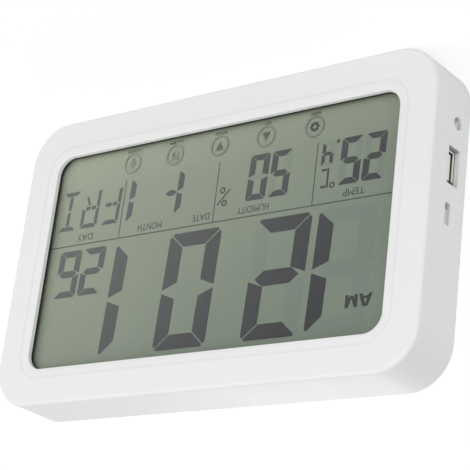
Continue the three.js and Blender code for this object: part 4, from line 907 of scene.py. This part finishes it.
def bar(name, x0, x1, z0, z1, cuts=(), right=0, middle=0, tilt=lean):  # one straight plate with trimmed ends
    plate = thinPlate(name, x0, x1, z0, z1)
    keep = ((x0 + x1) / 2, (z0 + z1) / 2)
    for first, second in cuts:
        trim(plate, first, second, keep)
    plate.data.transform(leaning(tilt, right, middle))
    return plate


dash = bar("dash", -2.9, 2.9, -1.2, 1.2, pointed(-2.9, 2.9, 1.6, 1.2), right=22.7, middle=39.5)
pointDot = bar("decimal_point", -0.7, 0.7, -0.7, 0.7, right=-56.5, middle=30.8)
lit += [dash, pointDot]


letterSizes = {"height": 17.4, "post": 1.7, "bar": 1.85, "gap": 0.16, "level": 39.6}
weekday = [("F", 49.5, 9.1), ("R", 61.1, 9.3), ("I", 73.1, 9.4)]  # letter, left edge and width, mm


def weekdayLetter(letter, left, w):  # letters drawn with straight plates, as a fourteen part segment is
    h, t, b, g, middle = (letterSizes[k] for k in ("height", "post", "bar", "gap", "level"))
    top, low = h / 2, -h / 2
    parts = []

    def put(a, b, c, d, cuts=()):
        parts.append(bar("letter_" + letter, a, b, c, d, cuts, right=left, middle=middle))

    def crossBar(z0, z1, outer):  # runs across at the top or the foot, with sloped ends
        inner = z0 + z1 - outer
        x0, x1 = 0.3, w - 0.3
        put(x0, x1, z0, z1, [((x0, outer), (x0 + t, inner)), ((x1, outer), (x1 - t, inner))])

    if letter in "FR":
        foot = low + (1.8 if letter == "F" else 0.9)
        put(0, t, g, top - b * 0.5, [((t * 0.5, g), (t, g + t * 0.5)), ((0, top - 0.2), (t, top - b - 0.2))])
        put(0, t, foot, -g, [((t * 0.5, -g), (t, -g - t * 0.5)), ((0, foot), (t, foot + 0.6))])
        crossBar(top - b, top, top)
        reach = w - (t + 0.05 if letter == "R" else t * 0.45)
        for x0, x1 in ((t + 0.05, w / 2 - g), (w / 2 + g, reach)):
            put(x0, x1, -t / 2, t / 2, pointed(x0, x1, 0.5, t / 2))
    if letter == "R":
        put(w - t, w, g, top - b * 0.5, [
            ((w - t * 0.5, g), (w - t, g + t * 0.5)), ((w, top - 0.2), (w - t, top - b - 0.2))])
        leg = bar("letter_leg", -0.6, 0.6, -2.1, 2.0, right=left + 6.4, middle=middle - 3.3, tilt=-0.42)
        parts.append(leg)
    if letter == "I":
        crossBar(top - b, top, top)
        crossBar(low, low + b, low)
        for side in (1, -1):
            near, far = side * g, side * (top - b - 0.3)
            tip = near + side * 0.8
            put(w / 2 - t / 2, w / 2 + t / 2, min(near, far), max(near, far), [
                ((w / 2, near), (w / 2 - t / 2, tip)), ((w / 2, near), (w / 2 + t / 2, tip))])
    return parts


for letter, left, width in weekday:
    lit += weekdayLetter(letter, left, width)
thicken(lit, "segments_lit", inkDepth, "display_polariser", segmentInk)
thicken(resting, "segments_resting", ghostDepth, "display_polariser", ghostInk)
print("segments laid")


# Lines, words and small signs of the display

def flatDisc(name, x, z, radius, sides):
    deselectAll()
    bpy.ops.mesh.primitive_circle_add(
        vertices=sides, radius=radius * mm, fill_type="NGON", rotation=(math.pi / 2, 0, 0),
        location=(x * mm, 0, z * mm))
    return rename(applied(bpy.context.object), name)


def hollowOut(stroke):  # leaves a band along the rim of the disc in edit mode
    bpy.ops.mesh.select_mode(type="FACE")
    bpy.ops.mesh.select_all(action="SELECT")
    bpy.ops.mesh.inset(thickness=stroke * mm)
    bpy.ops.mesh.delete(type="FACE")
    leaveEdit()


def ring(name, x, z, outer, stroke, sides):
    disc = flatDisc(name, x, z, outer, sides)
    editAll(disc)
    hollowOut(stroke)
    return disc


capHeight = 0.69  # a capital's height as a share of the letter size


def word(text, x0, x1, z0, z1, weight=0.0):  # flat lettering, stretched to the place it is seen at
    deselectAll()
    bpy.ops.object.text_add()
    obj = bpy.context.object
    obj.data.body = text
    obj.data.size = (z1 - z0) * mm / capHeight
    obj.data.offset = weight * mm
    obj.data.resolution_u = 4
    bpy.ops.object.convert(target="MESH")
    obj = bpy.context.object
    xs = [v.co.x for v in obj.data.vertices]
    ys = [v.co.y for v in obj.data.vertices]
    sx = (x1 - x0) * mm / (max(xs) - min(xs))
    sz = (z1 - z0) * mm / (max(ys) - min(ys))
    left, foot = x0 * mm - min(xs) * sx, z0 * mm - min(ys) * sz
    obj.data.transform(Matrix(((sx, 0, 0, left), (0, 0, 0, 0), (0, sz, 0, foot), (0, 0, 0, 1))))
    return rename(obj, "word_" + text)


lineFoot, lineTop, lineRow = 30, 55.1, (55.15, 55.65)  # mm
dividers = [bar("line", -87.4, 87.4, *lineRow, tilt=0)]
dividers += [bar("line", x0, x1, lineFoot, lineTop, tilt=0) for x0, x1 in (
    (-47.45, -47.0), (-0.75, -0.3), (47.65, 48.1))]
thicken(dividers, "divider_lines", inkDepth, "display_polariser", lineInk)


def letterPlates():  # the bold AM, drawn with plates
    middle, half = 94.95, 2.4

    def stroke(x, tilt, wide=1.4, low=-half, high=half, behind=0.0):  # crossing strokes lie a hair apart
        plate = bar("letter_stroke", -wide / 2, wide / 2, low, high, right=x, middle=middle, tilt=tilt)
        plate.data.transform(Matrix.Translation((0, behind * mm, 0)))
        return plate

    return [
        stroke(-76.15, 0.34, 1.45), stroke(-73.65, -0.34, 1.45, behind=0.004),
        stroke(-74.9, 0, 2.4, -1.5, -0.5, 0.008), stroke(-70.9, 0), stroke(-67.0, 0),
        stroke(-69.9, -0.36, 1.2, -2.0, half, 0.004), stroke(-68.0, 0.36, 1.2, -2.0, half, 0.008)]


wordRow = (51.0, 53.8)
wordPlaces = [
    ("TEMP", -70.1, -60.7), ("HUMIDITY", -27.1, -12.1), ("DATE", 1.4, 9.9), ("MONTH", 25.5, 38.0),
    ("DAY", 62.4, 71.0)]
words = [word(text, x0, x1, *wordRow) for text, x0, x1 in wordPlaces] + letterPlates()
signs = [
    ring("degree_ring", -55.5, 48.3, 1.25, 0.6, 16),
    bar("degree_c", -53.6, -52.75, 41.3, 49.0, tilt=0), bar("degree_c", -52.6, -50.3, 48.1, 49.0, tilt=0),
    bar("degree_c", -52.6, -50.3, 41.3, 42.2, tilt=0),
    ring("percent_ring", -5.2, 48.0, 1.35, 0.6, 16), ring("percent_ring", -3.8, 42.5, 1.35, 0.6, 16),
    bar("percent_line", -0.42, 0.42, -3.0, 3.0, right=-4.6, middle=45.4, tilt=0.95)]
thicken(words + signs, "legend_words", inkDepth, "display_polariser", legendInk)


# Touch marks printed behind the lens

touchMarks = {
    "x": (-44.9, -22.1, 0.5, 23.3, 45.8), "z": 22.9, "outer": 4.4, "stroke": 0.55, "arrow": 1.8,
    "gear": 1.6, "tooth": 1.35, "gearStroke": 0.7, "wordRow": (16.9, 18.0), "wordWeight": 0.1,
    "letterWidth": 0.62, "wordEdge": 0.5}
alarmHands = [(-0.2, 0.2, -0.3, 0.8), (0, 0.8, -0.3, 0.1)]  # mm from the middle of the key
lightBase = [(-0.65, 0.65, -1.6, -1.15), (-0.55, 0.55, -2.25, -1.85)]
printDepth = {"front": 4.03, "back": 4.07}


def gearMark(x, z):  # every other pair of corners is drawn out to a tooth
    gear = flatDisc("gear_mark", x, z, touchMarks["gear"], 32)
    tooth = touchMarks["tooth"]
    selectParts(gear, "vertices", lambda vert: vert.index % 4 < 2)
    bpy.ops.transform.resize(value=(tooth, 1, tooth), center_override=(x * mm, 0, z * mm))
    hollowOut(touchMarks["gearStroke"])
    return gear


def arrowMark(x, z, up):
    size = touchMarks["arrow"]
    plate = bar("arrow_mark", x - size, x + size, z - size, z + size, tilt=0)
    tipZ, footZ = (z + size, z - size) if up else (z - size, z + size)
    trim(plate, (x, tipZ), (x - size, footZ), (x, z))
    trim(plate, (x, tipZ), (x + size, footZ), (x, z))
    return plate


def barsAt(name, x, z, places):
    return [bar(name, x + x0, x + x1, z + z0, z + z1, tilt=0) for x0, x1, z0, z1 in places]


x1, x2, x3, x4, x5 = touchMarks["x"]
z = touchMarks["z"]
marks = [ring("touch_ring", x, z, touchMarks["outer"], touchMarks["stroke"], 40) for x in touchMarks["x"]]
glyphs = [gearMark(x1, z), arrowMark(x2, z, True), arrowMark(x3, z, False)]
marks += [ring("alarm_ring", x4, z - 0.1, 1.7, 0.5, 24)] + barsAt("alarm_hand", x4, z, alarmHands)
marks += [
    bar("alarm_bell", -0.6, 0.6, -0.35, 0.35, right=x4 + s * 1.5, middle=z + 1.8, tilt=0) for s in (-1, 1)]
marks += [ring("light_ring", x5, z + 0.45, 1.45, 1.0, 24)] + barsAt("light_base", x5, z, lightBase)
for x, text in zip(touchMarks["x"], ("SET", "UP", "DOWN", "ALARM", "LIGHT")):
    wide = touchMarks["letterWidth"] * len(text) + touchMarks["wordEdge"]
    marks.append(word(text, x - wide, x + wide, *touchMarks["wordRow"], touchMarks["wordWeight"]))
thicken(marks, "touch_marks", printDepth, "lens_clear", touchInk)
thicken(glyphs, "touch_glyphs", printDepth, "lens_clear", glyphInk)
print("legends laid")


# Floor, backdrop light and lamps

room = {
    "floorSize": 8, "floorTone": 0.88, "floorLift": 0.74, "floorWhite": 1.1, "liftRange": (0.35, 1.1),
    "airLight": 0.52, "lampsAbove": 0.06,
    "lamps": [
        {"name": "key_lamp", "towards": (0.5, -0.36, 0.62), "far": 1.5, "size": 1.1, "power": 6.2},
        {"name": "front_lamp", "towards": (-0.15, -0.9, 0.36), "far": 1.5, "size": 1.1, "power": 6.1},
        {"name": "left_lamp", "towards": (-0.9, -0.35, 0.12), "far": 1.4, "size": 0.8, "power": 4.2},
        {"name": "back_lamp", "towards": (0.37, 0.9, 0.26), "far": 1.5, "size": 1.1, "power": 5.0},
    ],
}


def seenAtOnce(tree):  # by the camera, in a mirror or through something clear
    path = addNode(tree, "ShaderNodeLightPath")
    seen = calc(tree, "MAXIMUM", path.outputs["Is Camera Ray"], path.outputs["Is Glossy Ray"])
    return calc(tree, "MAXIMUM", seen, path.outputs["Is Transmission Ray"])


deselectAll()
bpy.ops.mesh.primitive_plane_add(size=room["floorSize"])
floor = rename(bpy.context.object, "floor_sheet")
floorMaterial, tree, shader = startMaterial("floor_paper")
place = objectPlace(tree)
tone = room["floorTone"]
paper = blend(tree, noise(tree, place, 3, 2), grey(tone), grey(tone + 0.01))
paint(shader, paper)
feed(shader, "Roughness", 1)
feed(shader, "Specular IOR Level", 0)
lift = addNode(tree, "ShaderNodeEmission", {"Strength": room["floorWhite"]})
far = addNode(tree, "ShaderNodeVectorMath", {0: place}, operation="LENGTH").outputs["Value"]
share = ease(tree, far, room["floorLift"], 1, *room["liftRange"])
share = times(tree, seenAtOnce(tree), share)
both = addNode(tree, "ShaderNodeMixShader", {0: share, 1: shader.outputs[0], 2: lift.outputs[0]})
feed(tree.nodes["Material Output"], "Surface", both.outputs[0])
floor.data.materials.append(floorMaterial)

world = bpy.data.worlds.new("studio_air")
bpy.context.scene.world = world
world.use_nodes = True
tree = world.node_tree
tree.nodes.clear()
air = addNode(tree, "ShaderNodeBackground", {"Color": (1, 1, 1, 1), "Strength": room["airLight"]})
white = addNode(tree, "ShaderNodeBackground", {"Color": (1, 1, 1, 1), "Strength": 1.0})
mix = addNode(tree, "ShaderNodeMixShader", {0: seenAtOnce(tree), 1: air.outputs[0], 2: white.outputs[0]})
addNode(tree, "ShaderNodeOutputWorld", {"Surface": mix.outputs[0]})

for look in room["lamps"]:
    lamp = bpy.data.objects.new(look["name"], bpy.data.lights.new(look["name"], "AREA"))
    bpy.context.scene.collection.objects.link(lamp)
    lamp.data.shape = "DISK"
    lamp.data.size = look["size"]
    lamp.data.energy = look["power"]
    towards = Vector(look["towards"]).normalized()
    lamp.location = towards * look["far"] + Vector((0, 0, room["lampsAbove"]))
    lamp.rotation_euler = towards.to_track_quat("Z", "Y").to_euler()
print("room lit")

deselectAll()
